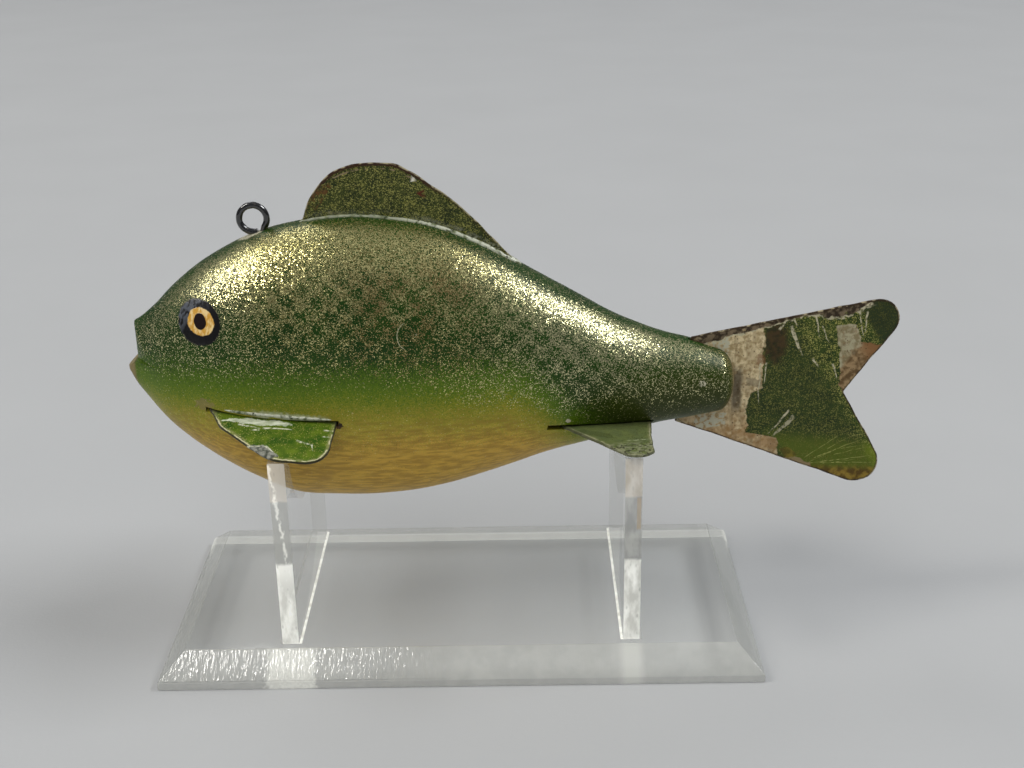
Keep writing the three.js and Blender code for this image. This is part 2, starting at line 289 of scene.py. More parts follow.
back_at = through(
    (0, 0.165), (0.017, 0.165), (0.045, 0.206), (0.082, 0.281), (0.117, 0.341), (0.152, 0.39),
    (0.224, 0.464), (0.301, 0.502), (0.373, 0.518), (0.429, 0.511), (0.507, 0.482), (0.57, 0.431),
    (0.64, 0.352), (0.73, 0.242), (0.802, 0.155), (0.877, 0.089), (0.927, 0.061), (1, 0.01),
)
belly_at = through(
    (0, 0.02), (0.006, 0.03), (0.013, 0.058), (0.028, 0.108), (0.057, 0.19), (0.09, 0.257),
    (0.15, 0.352), (0.2, 0.415), (0.264, 0.476), (0.334, 0.49), (0.42, 0.489), (0.507, 0.462),
    (0.593, 0.408), (0.68, 0.342), (0.76, 0.297), (0.88, 0.232), (0.94, 0.213), (1, 0.19),
)
widest_at = through(
    (0, 0), (0.12, 0.008), (0.37, -0.01), (0.54, -0.02), (0.72, -0.045), (0.88, -0.07), (1, -0.08),
)
width_at = through(
    (0, 0.2), (0.017, 0.25), (0.035, 0.34), (0.069, 0.52), (0.112, 0.68), (0.155, 0.81), (0.2, 0.9),
    (0.285, 0.98), (0.37, 1), (0.457, 0.98), (0.543, 0.93), (0.63, 0.85), (0.716, 0.75), (0.8, 0.65),
    (0.888, 0.52), (1, 0.35),
)


def rounding(way_in, radius):
    return math.sqrt(1 - (1 - min(way_in / radius, 1)) ** 2)


def section_at(x):
    """The wood's section behind the jaw tip: its widest level, its reach up and down, and its half width."""
    share = x / wood_length
    opened = rounding(x, nose_round) * rounding(wood_length - x, end_round)
    middle = widest_at(share) * wood_depth
    up = (back_at(share) * wood_depth - middle) * opened
    down = (belly_at(share) * wood_depth + middle) * opened
    return middle, up, down, width_at(share) * wood_width * opened / 2


def back_level(x):
    middle, up, _, _ = section_at(x)
    return middle + up


def round_the_skin(section, angle):
    """How far it is over the skin from the widest level, up to the back and down to the belly."""
    _, up, down, half = section
    reach = up if math.sin(angle) > 0 else down
    tilt = math.asin(min(abs(math.sin(angle)), 1))
    slices = 12
    length = 0
    for k in range(slices):
        t = tilt * (k + 0.5) / slices
        length += math.hypot(half * math.sin(t), reach * math.cos(t)) * tilt / slices
    return math.copysign(length, math.sin(angle))


wood_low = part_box("body")[0]
tenths = [section_at(k / 10) for k in range(1, wood_length * 10)]
deepest = min(middle - down for middle, up, down, half in tenths)
jaw = Vector((wood_low.x / mm, 0, wood_low.z / mm - deepest))

fish = new_piece(
    "fish_body", bpy.ops.mesh.primitive_uv_sphere_add,
    segments=skin_segments, ring_count=skin_rings, radius=1, rotation=(0, math.pi / 2, 0),
)
bpy.ops.object.transform_apply(location=True, rotation=True, scale=True)
sections = {}
skin_level = []
for vertex in fish.data.vertices:
    x = wood_length * min(max((1 + vertex.co.x) / 2, 0), 1)
    key = round(x, 4)
    if key not in sections:
        sections[key] = section_at(x)
    middle, up, down, half = sections[key]
    angle = math.atan2(vertex.co.z, vertex.co.y)
    reach = up if vertex.co.z > 0 else down
    point = jaw + Vector((x, half * math.cos(angle), middle + math.sin(angle) * reach))
    skin_level.append(jaw.z + middle + round_the_skin(sections[key], angle))
    carving = sum(noise.noise(point / size) * depth for size, depth in carving_waves)
    outward = Vector((0, math.cos(angle), math.sin(angle)))
    vertex.co = (point + outward * carving * min(half / carving_fade, 1)) * mm
skin = fish.data.uv_layers[0]
skin.name = "skin"
for loop in fish.data.loops:
    vertex = fish.data.vertices[loop.vertex_index]
    u, v = vertex.co.x / mm, skin_level[loop.vertex_index]
    skin.data[loop.index].uv = (u / drawing_scale, v / drawing_scale)


def pick_out(piece):
    """Select one piece alone."""
    bpy.ops.object.select_all(action="DESELECT")
    bpy.context.view_layer.objects.active = piece
    piece.select_set(True)


def cut_away(piece, tool):
    """Cut one solid out of another, and take the tool away."""
    cut = piece.modifiers.new("cut", "BOOLEAN")
    cut.object = tool
    cut.operation = "DIFFERENCE"
    cut.solver = "EXACT"
    pick_out(piece)
    bpy.ops.object.modifier_apply(modifier=cut.name)
    bpy.data.objects.remove(tool)


def set_edit(piece):
    pick_out(piece)
    bpy.ops.object.mode_set(mode="EDIT")
    bpy.ops.mesh.select_all(action="SELECT")


def new_disc(name, corners):
    return new_piece(name, bpy.ops.mesh.primitive_circle_add, vertices=corners, radius=1, fill_type="NGON")


def draw_out(piece, rings, step):
    """Extrude a flat piece upwards, ring by ring."""
    set_edit(piece)
    for _ in range(rings):
        bpy.ops.mesh.extrude_region_move(TRANSFORM_OT_translate={"value": (0, 0, step)})
    bpy.ops.object.mode_set(mode="OBJECT")


def face_outwards(piece):
    set_edit(piece)
    bpy.ops.mesh.normals_make_consistent(inside=False)
    bpy.ops.object.mode_set(mode="OBJECT")


# The mouth: a rasp's round cut back over the lower lip, swept across the snout
mouth_depth, mouth_rise, lip_edge, snout_curve, snout_half = 1.95, 2, 0.3, 5.2, 8
sweeps = 32
rasp_profile = [
    (-mouth_depth, 2 * lip_edge - mouth_rise), (mouth_depth, mouth_rise), (None, mouth_rise),
    (None, wood_depth / 2), (-mouth_depth, wood_depth / 2),
]
rasp = new_disc("rasp", len(rasp_profile))
draw_out(rasp, sweeps, 1)
corners = sorted({round(math.atan2(v.co.y, v.co.x), 3) for v in rasp.data.vertices})
for vertex in rasp.data.vertices:
    x, z = rasp_profile[corners.index(round(math.atan2(vertex.co.y, vertex.co.x), 3))]
    y = snout_half * (2 * vertex.co.z / sweeps - 1)
    face = mouth_depth + y * y / (2 * snout_curve)
    vertex.co = (jaw + Vector((max(face, mouth_depth + 0.001) if x is None else x, y, z))) * mm
face_outwards(rasp)
cut_away(fish, rasp)


# The saw kerfs of the side fins and of the tail
def surface_point(place, height, side):
    x, z = place * wood_length, height * wood_depth
    middle, up, down, half = section_at(x)
    rise = (z - middle) / (up if z > middle else down)
    return jaw + Vector((x, side * half * math.sqrt(1 - rise * rise), z))


def fin_plane(root_start, root_end, side, rest):
    """Where a side fin lies: its root's start, the directions along and out, and its root's length."""
    start, end = surface_point(*root_start, side), surface_point(*root_end, side)
    along = (end - start).normalized()
    out = Vector((rest[0], side * rest[1], rest[2])) - start
    out = (out - along * out.dot(along)).normalized()
    return start, along, out, (end - start).length


def standing(start, along, out):
    """The turn and shift that take a flat drawing, in millimetres, to such a plane."""
    turn = Matrix((along, out, along.cross(out))).transposed().to_4x4()
    return Matrix.Translation(start) @ turn


def saw_kerf(low, high, thickness, where):
    blade = new_piece("blade", bpy.ops.mesh.primitive_cube_add, size=1)
    size = (high[0] - low[0], high[1] - low[1], thickness)
    centre = ((high[0] + low[0]) / 2, (high[1] + low[1]) / 2, 0)
    blade.data.transform(where @ Matrix.Translation(centre) @ Matrix.Diagonal((*size, 1)))
    blade.data.transform(Matrix.Scale(mm, 4))
    cut_away(fish, blade)


front_arm, rear_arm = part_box("stand_upright_front")[1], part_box("stand_upright_rear")[1]
over_arm, inside_arm = 0.55, 17.9
fin_rest = front_arm.z / mm + over_arm
front_rest = (front_arm.x / mm, front_arm.y / mm, fin_rest)
rear_rest = (rear_arm.x / mm, inside_arm, fin_rest)
pectoral_plane = fin_plane((0.148, -0.086), (0.354, -0.115), -1, front_rest)
pelvic_plane = fin_plane((0.7135, -0.181), (0.86, -0.203), -1, rear_rest)
pectoral_tab, pelvic_tab = 4.5, 2.8
pectoral_overrun, pelvic_overrun, kerf_reach = 0.5, 2.7, 8
tail_kerf_depth, past_end, tail_kerf_reach = 9, 3, 22
mirror = Matrix.Diagonal((1, -1, 1, 1))
kerf_width = tin_thickness + 2 * kerf_gap
for (start, along, out, root), tab, overrun in (
    (pectoral_plane, pectoral_tab, pectoral_overrun), (pelvic_plane, pelvic_tab, pelvic_overrun),
):
    for side in (Matrix(), mirror):
        low, high = (-overrun - kerf_gap, -tab - kerf_gap), (root + kerf_gap, kerf_reach)
        saw_kerf(low, high, kerf_width, side @ standing(start, along, out))
tail_level = jaw.z + section_at(wood_length)[0]
tail_plane = standing(jaw + Vector((0, 0, tail_level - jaw.z)), Vector((1, 0, 0)), Vector((0, 0, 1)))
low, high = (wood_length - tail_kerf_depth, -tail_kerf_reach), (wood_length + past_end, tail_kerf_reach)
saw_kerf(low, high, kerf_width, tail_plane)
pick_out(fish)
bpy.ops.object.shade_smooth_by_angle(angle=math.radians(40))

paint = Finish("painted_wood", {"Coat Roughness": 0.28, "Coat IOR": 1.5, "Specular IOR Level": 0.2})
across, around, _ = paint.add("ShaderNodeUVMap", {"uv_map": "skin"}, {}).parts()
across, around = across * drawing_scale, around * drawing_scale
side_way = abs(paint.y)
drift = (paint.cloud(11, 3) - 0.5) * 5
dapple = (paint.cloud(1.6, 3) - 0.5) * 1.6
speck = paint.grains(0.16)
pick, tone, shade = speck.parts()
level = paint.z + paint.x.rise(9, 34) * 17 + paint.x.rise(-44, -56) * 1.2
level = level + drift * 0.5 + dapple + (shade - 0.5) * 4.5
paint.surface = paint.mottled(7, 2, 0.3, 0.7, (20, 50, 6), (30, 60, 8))
paint.tint(paint.x.rise(14, 36) * paint.z.rise(59, 50), (48, 58, 2))
for top, foot, tone_below in (
    (62, 54, (84, 112, 12)), (55, 50, (132, 136, 30)),
    (51.5, 46.5, (172, 158, 54)), (47.5, 41, (212, 172, 70)),
):
    paint.tint(level.rise(top, foot), tone_below)

# Gold powder: thin at the ridge of the back, gone below the flank, and held off by the net
ridge = (side_way * (1 + paint.x.rise(18, 40) * 1.6) - paint.x.rise(-4, 14) * 1.8).rise(0.8, 4.8)
gold_level = paint.z + paint.x.rise(-14, 40) * 9 + drift + dapple
fall = (gold_level + paint.x.rise(-20, 4) * 3).rise(54, 63) * 0.3 + gold_level.rise(60, 80) * 0.7
fall = fall * (1 - paint.x.rise(12, 34) * paint.z.rise(54, 47) * 0.75)
by_the_tail = paint.x.rise(8, 30) * paint.z.rise(53, 59) * 0.3
on_the_snout = paint.x.rise(-49, -57) * paint.z.rise(58, 64) * 0.16
on_the_head = paint.x.rise(-24, -32) * paint.x.rise(-58, -50) * paint.z.rise(66, 70) * 0.14
mist = (fall + by_the_tail + on_the_snout + on_the_head) * (0.2 + ridge * 0.8)
row = around + (across + 19.5) * 0.08 + (paint.cloud(14, 1) - 0.5) * 1.2
column = across + 19.5 + (paint.cloud(17, 1, paint.stretched(1, 1, 1.3)) - 0.5) * 1.6
net = (column * (math.pi / 2.515)).cosine() * ((row - 68.3) * (math.pi / 2.5)).cosine()
through_net = (net + (paint.cloud(0.9, 3) - 0.5) * 1.2).rise(-0.85, 0.65)
netted = paint.x.rise(-36, -31) * paint.x.rise(46, 36) * (1 - abs(paint.x - 2).rise(9, 2) * 0.55)
netted = netted * (around + paint.x.rise(0, 20) * 12 + paint.x.rise(18, 40) * 12).rise(80, 71)
mist = mist * (1 + netted * (through_net * 0.9 - 0.6))
flake = (mist * 0.72 - pick).rise(-0.07, 0.07)
gold = paint.blend(tone, (120, 110, 54), (252, 242, 172))
coppery = abs(paint.x + 7).rise(17, 5) * paint.z.rise(54, 62) * paint.z.rise(79, 72)
gold = paint.blend(coppery * paint.cloud(5, 2).rise(0.3, 0.65) * 0.6, gold, (150, 112, 70))
gold = paint.blend(paint.x.rise(-4, 22) * 0.35 + paint.x.rise(-30, -44) * 0.25, gold, (214, 216, 186))
paint.tint(flake, gold)

# The eye: black, then gold, then a black pupil, in thick quick strokes
eye_strokes = (paint.cloud(0.9, 2) - 0.5) * 0.22


def oval(x, z, long, high):
    """How far it is from a place on both flanks, where 1 is the rim of an oval."""
    return ((paint.x - x) / long).beside((paint.z - z) / high)


eye_x, eye_z, eye_long, eye_high = -46.45, 66.7, 4.15, 3.9
black_ring = (oval(eye_x, eye_z, eye_long, eye_high) + eye_strokes * 0.5).rise(1.05, 0.98)
iris = (oval(-46.1, 66.85, 2.62, 2.38) + eye_strokes).rise(1.05, 0.97)
pupil = (oval(-46.25, 66.95, 1.22, 1.42) + eye_strokes * 0.8).rise(1.05, 0.95)
brushed = paint.cloud(0.7, 3, paint.stretched(1, 1, 0.4))
iris_colour = paint.blend(brushed.rise(0.4, 0.62), (214, 160, 62), (244, 214, 150))
up_and_ahead = (paint.z - eye_z) / eye_high - (paint.x - eye_x) / eye_long
# Grey strokes on the upper front of the black ring are a painted sheen, where a lamp's reflection would fall
# on the thick paint.
ring_painted_sheen = brushed.rise(0.42, 0.6) * up_and_ahead.rise(-0.1, 1.1)
paint.tint(black_ring, paint.blend(ring_painted_sheen, (14, 12, 14), (86, 90, 98)))
paint.tint(iris, iris_colour)
paint.tint(pupil, (26, 8, 6))

# Worn places: the keel of the jaw, the lower lip, the rim at the tail, small chips and marks
ragged = (paint.cloud(0.7, 4) - 0.5) * 2.6


def mark(x, z, long, high):
    """A small spot on both flanks, with a ragged edge."""
    return (oval(x, z, long, high) + ragged).rise(1.15, 0.85)


keel = side_way.rise(4, 1.2) * level.rise(57, 53) * paint.x.rise(-12, -26)
keel = keel * paint.cloud(1.2, 3).rise(0.3, 0.6)
lip = paint.x.rise(-60.4, -61.2) * paint.z.rise(58, 56.4)
tail_rim = paint.x.rise(52.0, 52.8) * paint.cloud(0.8, 3).rise(0.25, 0.5)
chips = paint.grains(1.4, output="Distance").rise(0.09, 0.04) * paint.cloud(6, 1).rise(0.62, 0.7)
eye_foot = ((paint.x + 37.4) * 0.4).beside(paint.y * 0.5477) + ragged * 0.2
chips = chips.most(eye_foot.rise(1.1, 0.8) * paint.z.rise(76, 78))
chips = chips.most(mark(20.9, 46.3, 0.45, 0.4))
chips = chips.most(mark(46.4, 51.9, 0.7, 0.5) * paint.cloud(0.4, 3).rise(0.44, 0.56))
worn = keel.most(lip).most(tail_rim).most(mark(-46.6, 51.2, 1.9, 1.2) * 0.7)
paint.tint(worn * 0.8, (138, 118, 84))
paint.tint(chips * 0.85, (204, 198, 172))
smear_up = paint.z - 50.0 + (paint.x + 44.5) * 0.088
smear = smear_up.rise(0.1, 0.4) * (smear_up + ragged * 0.5).rise(2.1, 1.1)
smear = smear * paint.x.rise(-38.5, -35) * paint.x.rise(-22, -26)
smear = smear * paint.cloud(0.8, 4, paint.stretched(0.3, 1, 1)).rise(0.3, 0.52)
paint.tint(smear * 0.85, (196, 204, 172))
hair_x, hair_z, hair_curl = paint.x + 7.3, paint.z - 64.9, 2.75
hair = abs(hair_x.beside(hair_z) + ragged * 0.14 - hair_curl).rise(0.12, 0.04) * hair_x.rise(-1.2, -2.0)
paint.tint(hair * 0.6, (206, 200, 164))
# A dark spot at the rear end of the pectoral slot is painted shade in a small hole there.
paint.tint(mark(-21.4, 48.0, 0.7, 0.6), (30, 20, 12))
grain = paint.cloud(0.7, 4, paint.stretched(0.2, 1, 1))
dirt = paint.grains(0.9, output="Distance").rise(0.16, 0.05) * paint.cloud(4, 2).rise(0.5, 0.62)
belly = level.rise(52, 46)
paint.tint(belly * grain.rise(0.35, 0.65) * 0.45, (120, 84, 34))
paint.tint(belly * dirt * 0.75, (78, 52, 24))
eye_paint = black_ring.most(iris)
height = black_ring * 0.07 + iris * 0.06 + pupil * 0.04 + eye_paint * brushed * 0.16
height = height + paint.cloud(1.8, 3) * 0.02 - worn * 0.03 - chips * 0.05 + belly * grain * 0.015
paint.feed(
    Base_Color=paint.surface,
    Metallic=flake * (1 - eye_paint.most(worn).most(smear)) * 0.9,
    Roughness=0.42 - flake * 0.18 + worn * 0.25 - eye_paint * 0.2,
    Coat_Weight=0.12 + eye_paint * 0.5,
    Normal=paint.relief(height, paint.tipped(speck, flake * (1 - eye_paint) * 0.44)),
)
dress(fish, paint)
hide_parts("body")
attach(fish, "root")

# Dorsal fin
# A plate of sheet tin, snipped to a long curve and let into a saw kerf along the back. It is painted as the
# wood is, with filler run along both sides of its foot. Its rim is worn to a brown line.
tin_pitch, snip_length, snip_drift, filed_edge, buckle = 1.3, 0.6, 0.16, 0.11, 0.16


def snipped(points):
    """A closed outline with its points close together, which wander a little as the snips did."""
    close = []
    for start, end in zip(points, points[1:] + points[:1]):
        pieces = max(1, round((end - start).length / snip_length))
        close += [start.lerp(end, k / pieces) for k in range(pieces)]
    drifts = [[noise.noise((p.x / 3, p.y / 3, layer)) for layer in (3, 9)] for p in close]
    return [p + Vector(drift) * snip_drift for p, drift in zip(close, drifts)]


def ease_edges(piece, width, sharpest):
    """Round off the edges that are sharper than some angle."""
    bevel = piece.modifiers.new("bevel", "BEVEL")
    bevel.width = width
    bevel.segments = 2
    bevel.angle_limit = math.radians(sharpest)
    bpy.ops.object.modifier_apply(modifier=bevel.name)


def tin_plate(name, outline, where):
    """A plate of tin cut to a flat drawing, then set up in its place. It keeps how far in each point is."""
    plate = new_disc(name, len(outline))
    for vertex, point in zip(plate.data.vertices, outline):
        vertex.co = (point.x, point.y, -tin_thickness / 2)
    draw_out(plate, 1, tin_thickness)
    face_outwards(plate)
    ease_edges(plate, filed_edge, 60)
    set_edit(plate)
    for axis in (0, 1):
        low, high = min(point[axis] for point in outline), max(point[axis] for point in outline)
        for k in range(1, math.ceil((high - low) / tin_pitch)):
            place, facing = Vector((0, 0, 0)), Vector((0, 0, 0))
            place[axis], facing[axis] = low + k * tin_pitch, 1
            bpy.ops.mesh.select_all(action="SELECT")
            bpy.ops.mesh.bisect(plane_co=place, plane_no=facing)
    bpy.ops.object.mode_set(mode="OBJECT")
    near = kdtree.KDTree(len(outline))
    for k, point in enumerate(outline):
        near.insert((point.x, point.y, 0), k)
    near.balance()
    rim = plate.data.attributes.new("rim", "FLOAT", "POINT")
    for vertex, value in zip(plate.data.vertices, rim.data):
        point = Vector((vertex.co.x, vertex.co.y))
        k = near.find((point.x, point.y, 0))[1]
        ways = []
        for start, end in ((outline[k - 1], outline[k]), (outline[k], outline[(k + 1) % len(outline)])):
            foot, share = intersect_point_line(point, start, end)
            ways.append((point - start.lerp(end, min(max(share, 0), 1))).length)
        value.value = min(ways)
    plan = plate.data.uv_layers[0]
    plan.name = "plan"
    for loop in plate.data.loops:
        plan.data[loop.index].uv = plate.data.vertices[loop.vertex_index].co.xy / drawing_scale
    for vertex in plate.data.vertices:
        vertex.co.z += noise.noise((vertex.co.x / 6, vertex.co.y / 6, 5)) * buckle
    plate.data.transform(Matrix.Scale(mm, 4) @ where)
    bpy.ops.object.shade_smooth_by_angle(angle=math.radians(50))
    return plate


class TinFinish(Finish):
    """Green paint with gold powder on a plate of tin, with the places across and up its flat drawing."""

    def __init__(self, name, under, over, powder):
        gloss = {"Coat Weight": 0.2, "Coat Roughness": 0.2, "Coat IOR": 1.5, "Specular IOR Level": 0.2}
        super().__init__(name, gloss)
        across, up, _ = self.add("ShaderNodeUVMap", {"uv_map": "plan"}, {}).parts()
        self.across = across * drawing_scale + (self.cloud(2.2, 1) - 0.5) * 0.6
        self.up = up * drawing_scale + (self.cloud(2.6, 1) - 0.5) * 0.6
        self.rim = self.add("ShaderNodeAttribute", {"attribute_name": "rim"}, {}, "Fac")
        self.ragged = (self.cloud(0.9, 3) - 0.5) * 1.4
        self.broken = self.cloud(0.6, 3).rise(0.38, 0.54) * 0.85 + 0.15
        self.speck = self.grains(0.16)
        pick, tone, _ = self.speck.parts()
        self.flake = ((0.35 + self.cloud(1.5, 3).rise(0.3, 0.7) * 0.65) * powder - pick).rise(-0.12, 0.12)
        self.surface = self.mottled(2.5, 3, 0.3, 0.7, under, over)
        self.tint(self.flake, self.blend(tone, (100, 104, 44), (194, 190, 108)))
        self.bare = self.rim * 0
        self.height = self.cloud(1.4, 3) * 0.03

    def by_rim(self, waver, start, end):
        """From 0 at one way in from the rim to 1 at another, with a wavering line."""
        return (self.rim + self.ragged * waver).rise(start, end)

    def left_of(self, start, end, soft=0.12):
        """All that is on the left of a ragged line that runs through start and end."""
        run, rise = Vector(end) - Vector(start)
        length = math.hypot(run, rise)
        off = self.up * (run / length) - self.across * (rise / length)
        off = off + (start[0] * rise - start[1] * run) / length
        return (off + self.ragged * 0.8).rise(-soft, soft)

    def within(self, *corners):
        """All that is inside a patch whose corners go round to the left."""
        patch = 1
        for start, end in zip(corners, corners[1:] + corners[:1]):
            patch = self.left_of(start, end) * patch
        return patch

    def scratch(self, start, end, width, strength=1):
        """A scratch from start to end, which wavers, tapers and breaks up."""
        run, rise = Vector(end) - Vector(start)
        length = math.hypot(run, rise)
        run, rise = run / length, rise / length
        along = self.across * run + self.up * rise - (start[0] * run + start[1] * rise)
        off = abs(self.up * run - self.across * rise + (start[0] * rise - start[1] * run))
        half_width = (1.2 - along / length * 0.8) * (width * 0.5)
        inside = (half_width - off + self.ragged * width * 0.4).rise(-0.03, 0.06)
        return inside * along.rise(-0.2, 0.3) * (length - along).rise(-0.2, 0.8) * self.broken * strength

    def scratches(self, *strokes):
        """Many scratches as one, each with its start, its end and its width."""
        worst = 0
        for stroke in strokes:
            worst = self.scratch(*stroke).most(worst)
        return worst

    def paint_over(self, share, new_colour, bare=0.6, depth=0.03):
        """Another colour where the paint is worn through, stained or chipped, and also where shade and
        highlights are painted on.
        """
        self.tint(share, new_colour)
        self.bare = self.bare.most(share * bare)
        self.height = self.height - share * depth

    def finish_off(self):
        shine = self.flake * (1 - self.bare)
        self.feed(
            Base_Color=self.surface,
            Metallic=shine * 0.9,
            Roughness=0.4 + self.bare * 0.3,
            Normal=self.relief(self.height, self.tipped(self.speck, shine * 0.45)),
        )


dorsal_edge = [
    (0, 0), (0.04, 0.31), (0.13, 0.67), (0.25, 0.89), (0.42, 1), (0.5, 0.965), (0.61, 0.82), (0.75, 0.59),
    (1, 0),
]
dorsal_front, dorsal_length, dorsal_height, dorsal_tab = 0.302 * wood_length, 39.5, 14.2, 3
dorsal_feet = [back_level(dorsal_front), back_level(dorsal_front + dorsal_length)]


def dorsal_point(along, up):
    foot = dorsal_feet[0] + (dorsal_feet[1] - dorsal_feet[0]) * along
    return Vector((jaw.x + dorsal_front + along * dorsal_length, jaw.z + foot + up * dorsal_height))


def eased(points, steps=6):
    """A smooth open line through the points, in several steps from each to the next."""
    ends = [points[0] * 2 - points[1], *points, points[-1] * 2 - points[-2]]
    line = []
    for a, b, c, d in zip(ends, ends[1:], ends[2:], ends[3:]):
        for step in range(steps):
            t = step / steps
            bend = (a * 2 - b * 5 + c * 4 - d) * t + (b * 3 - a - c * 3 + d) * t * t
            line.append(b + ((c - a) + bend) * (t / 2))
    return [*line, points[-1]]


dorsal_outline = eased([dorsal_point(*edge) for edge in dorsal_edge])
dorsal_outline += [dorsal_point(along, -dorsal_tab / dorsal_height) for along in (1, 0)]
upright_plane = standing(Vector((0, 0, 0)), Vector((1, 0, 0)), Vector((0, 0, 1)))
dorsal_fin = tin_plate("dorsal_plate", snipped(dorsal_outline), upright_plane)
dorsal = TinFinish("dorsal_paint", (32, 44, 6), (56, 66, 18), 0.46)
rim_line = dorsal.by_rim(0.35, 0.75, 0.35)
high_part = dorsal.up.rise(86, 90)
dorsal.paint_over(rim_line * (0.35 + high_part * 0.65), (58, 36, 22), 0.5)
cracked = abs(dorsal.rim + dorsal.ragged * 0.3 - 1.05).rise(0.2, 0.06) * dorsal.up.rise(89.5, 91)
dorsal.paint_over(cracked * dorsal.cloud(1.2, 3).rise(0.45, 0.55), (150, 132, 100), 0.8, 0.05)
bare_rim = dorsal.by_rim(0.2, 0.22, 0.08) * dorsal.cloud(1.6, 2).rise(0.45, 0.6)
dorsal.paint_over(bare_rim, (160, 150, 118), 0.8)
dorsal.paint_over(dorsal.scratch((-7.4, 90.5), (-6.3, 90.1), 1.0), (236, 232, 216), 0.8, 0.06)
dorsal.paint_over(dorsal.scratch((-5.7, 88.2), (-5.1, 86.8), 1.7), (92, 34, 20), 0.4)
rusty = dorsal.scratch((-26, 85.6), (-22, 90.0), 2.2, 0.8) * dorsal.cloud(0.8, 4).rise(0.42, 0.6)
dorsal.paint_over(rusty, (110, 70, 34), 0.5)
dorsal.paint_over(dorsal.scratch((-22.8, 84.4), (-18.0, 83.5), 0.5, 0.8), (148, 142, 104), 0.5)
foot_levels = [jaw.z + back_level(dorsal_front + dorsal_length * share) for share in (0, 0.5, 1)]
along_foot = (dorsal.across - (jaw.x + dorsal_front)) * (1 / dorsal_length)
bulge = 2 * foot_levels[0] - 4 * foot_levels[1] + 2 * foot_levels[2]
back_line = along_foot * (along_foot * bulge + (foot_levels[2] - foot_levels[0] - bulge)) + foot_levels[0]
over_back = dorsal.up - back_line + dorsal.ragged * 0.5
smeared = over_back.rise(1.9, 0.9) * (0.3 + along_foot.rise(0.4, 0.75) * 0.7)
smeared = smeared * dorsal.cloud(1.0, 4, dorsal.stretched(0.4, 1, 1)).rise(0.4, 0.58)
smear_tone = dorsal.mottled(0.5, 3, 0.5, 0.6, (146, 148, 126), (60, 62, 44))
dorsal.paint_over(smeared * 0.75, smear_tone, 0.5, 0)
dorsal.finish_off()
dress(dorsal_fin, dorsal)
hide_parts("dorsal_fin")
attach(dorsal_fin, "root")


def rod(name, path, radii, side, around=14):
    """A rod along a path, in millimetres: a circle extruded ring by ring, each set square to the path."""
    piece = new_disc(name, around)
    draw_out(piece, len(path) - 1, 1)
    for vertex in piece.data.vertices:
        k = round(vertex.co.z)
        ahead = (path[min(k + 1, len(path) - 1)] - path[max(k - 1, 0)]).normalized()
        up = ahead.cross(side).normalized()
        flat = up.cross(ahead)
        lump = noise.noise(path[k] * 0.9 + Vector((vertex.co.x, vertex.co.y, 0)) * 0.8)
        radius = radii[k] * (1 + 0.12 * lump)
        vertex.co = (path[k] + (flat * vertex.co.x + up * vertex.co.y) * radius) * mm
    face_outwards(piece)
    bpy.ops.object.shade_smooth_by_angle(angle=math.radians(60))
    return piece


def other_side(left):
    """The mirror image of a piece, for the fish's right-hand side."""
    right = left.copy()
    right.data = left.data.copy()
    right.name = left.name.replace("left", "right")
    bpy.context.collection.objects.link(right)
    right.data.transform(mirror)
    right.data.flip_normals()
    return right


filler_steps, filler_aside, filler_lift = 90, 0.42, 0.02
filler_path, filler_radii = [], []
for k in range(filler_steps + 1):
    along = -0.01 + 1.03 * k / filler_steps
    x = dorsal_front + along * dorsal_length
    lump = noise.noise((x / 1.7, 0, 2)) + 0.6 * noise.noise((x / 0.7, 0, 6))
    filler_path.append(jaw + Vector((x, -filler_aside, back_level(x) + filler_lift + 0.06 * lump)))
    taper = min(1, rounding(k + 0.5, 6), rounding(filler_steps - k + 0.5, 10))
    filler_radii.append(max(0.05, (0.34 + 0.2 * along + 0.14 * lump) * taper))
filler_left = rod("dorsal_filler_left", filler_path, filler_radii, Vector((0, 1, 0)))
filler_right = other_side(filler_left)
filler = Finish("filler_paint", {"Coat Weight": 0.5, "Coat Roughness": 0.2})
worn_share = 0.45 + filler.x.rise(-14, -2) * 0.55 + filler.z.rise(56, 52) * 0.5
worn_top = filler.cloud(0.9, 4).rise(0.36, 0.54) * worn_share
pits = filler.grains(1.1, output="Distance").rise(0.3, 0.15) * filler.cloud(2, 1).rise(0.5, 0.6)
filler_green = filler.mottled(0.8, 3, 0.35, 0.65, (58, 70, 34), (120, 128, 88))
filler.feed(
    Base_Color=filler.blend(pits, filler.blend(worn_top * 0.9, filler_green, (204, 206, 186)), (34, 38, 26)),
    Roughness=0.35 + worn_top * 0.2,
    Normal=filler.relief(filler.cloud(0.6, 3) * 0.12 - pits * 0.1),
)
for bead in (filler_left, filler_right):
    dress(bead, filler)
    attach(bead, "root")

# Tail fin
# A forked plate of the same tin, let into the upright saw kerf in the end of the wood. Its paint is worn
# off in places, down to a cream ground coat by the wood and to scratched tin in the lobes.
tail_front, tail_length, tail_span = wood_length - 11.1, 42, 37.9
tail_corners = [
    (0, -0.238, 0), (1.09, -0.708, 0.104), (0.77, -0.09, 0.014), (1.124, 0.455, 0.095), (0.062, 0.22, 0),
]
corner_steps = 12


def rounded(corners):
    """The outline through corners of along, up and radius, each rounded to its radius."""
    points = []
    for place, (x, y, radius) in enumerate(corners):
        corner = Vector((x, y))
        if not radius:
            points.append(corner)
            continue
        before = (Vector(corners[place - 1][:2]) - corner).normalized()
        after = (Vector(corners[(place + 1) % len(corners)][:2]) - corner).normalized()
        half = before.angle(after) / 2
        turn = (math.pi - 2 * half) * math.copysign(1, after.cross(before))
        arm = corner + before * (radius / math.tan(half))
        centre = corner + (before + after).normalized() * (radius / math.sin(half))
        turns = [Matrix.Rotation(turn * step / corner_steps, 2) for step in range(corner_steps + 1)]
        points += [centre + one_turn @ (arm - centre) for one_turn in turns]
    return points


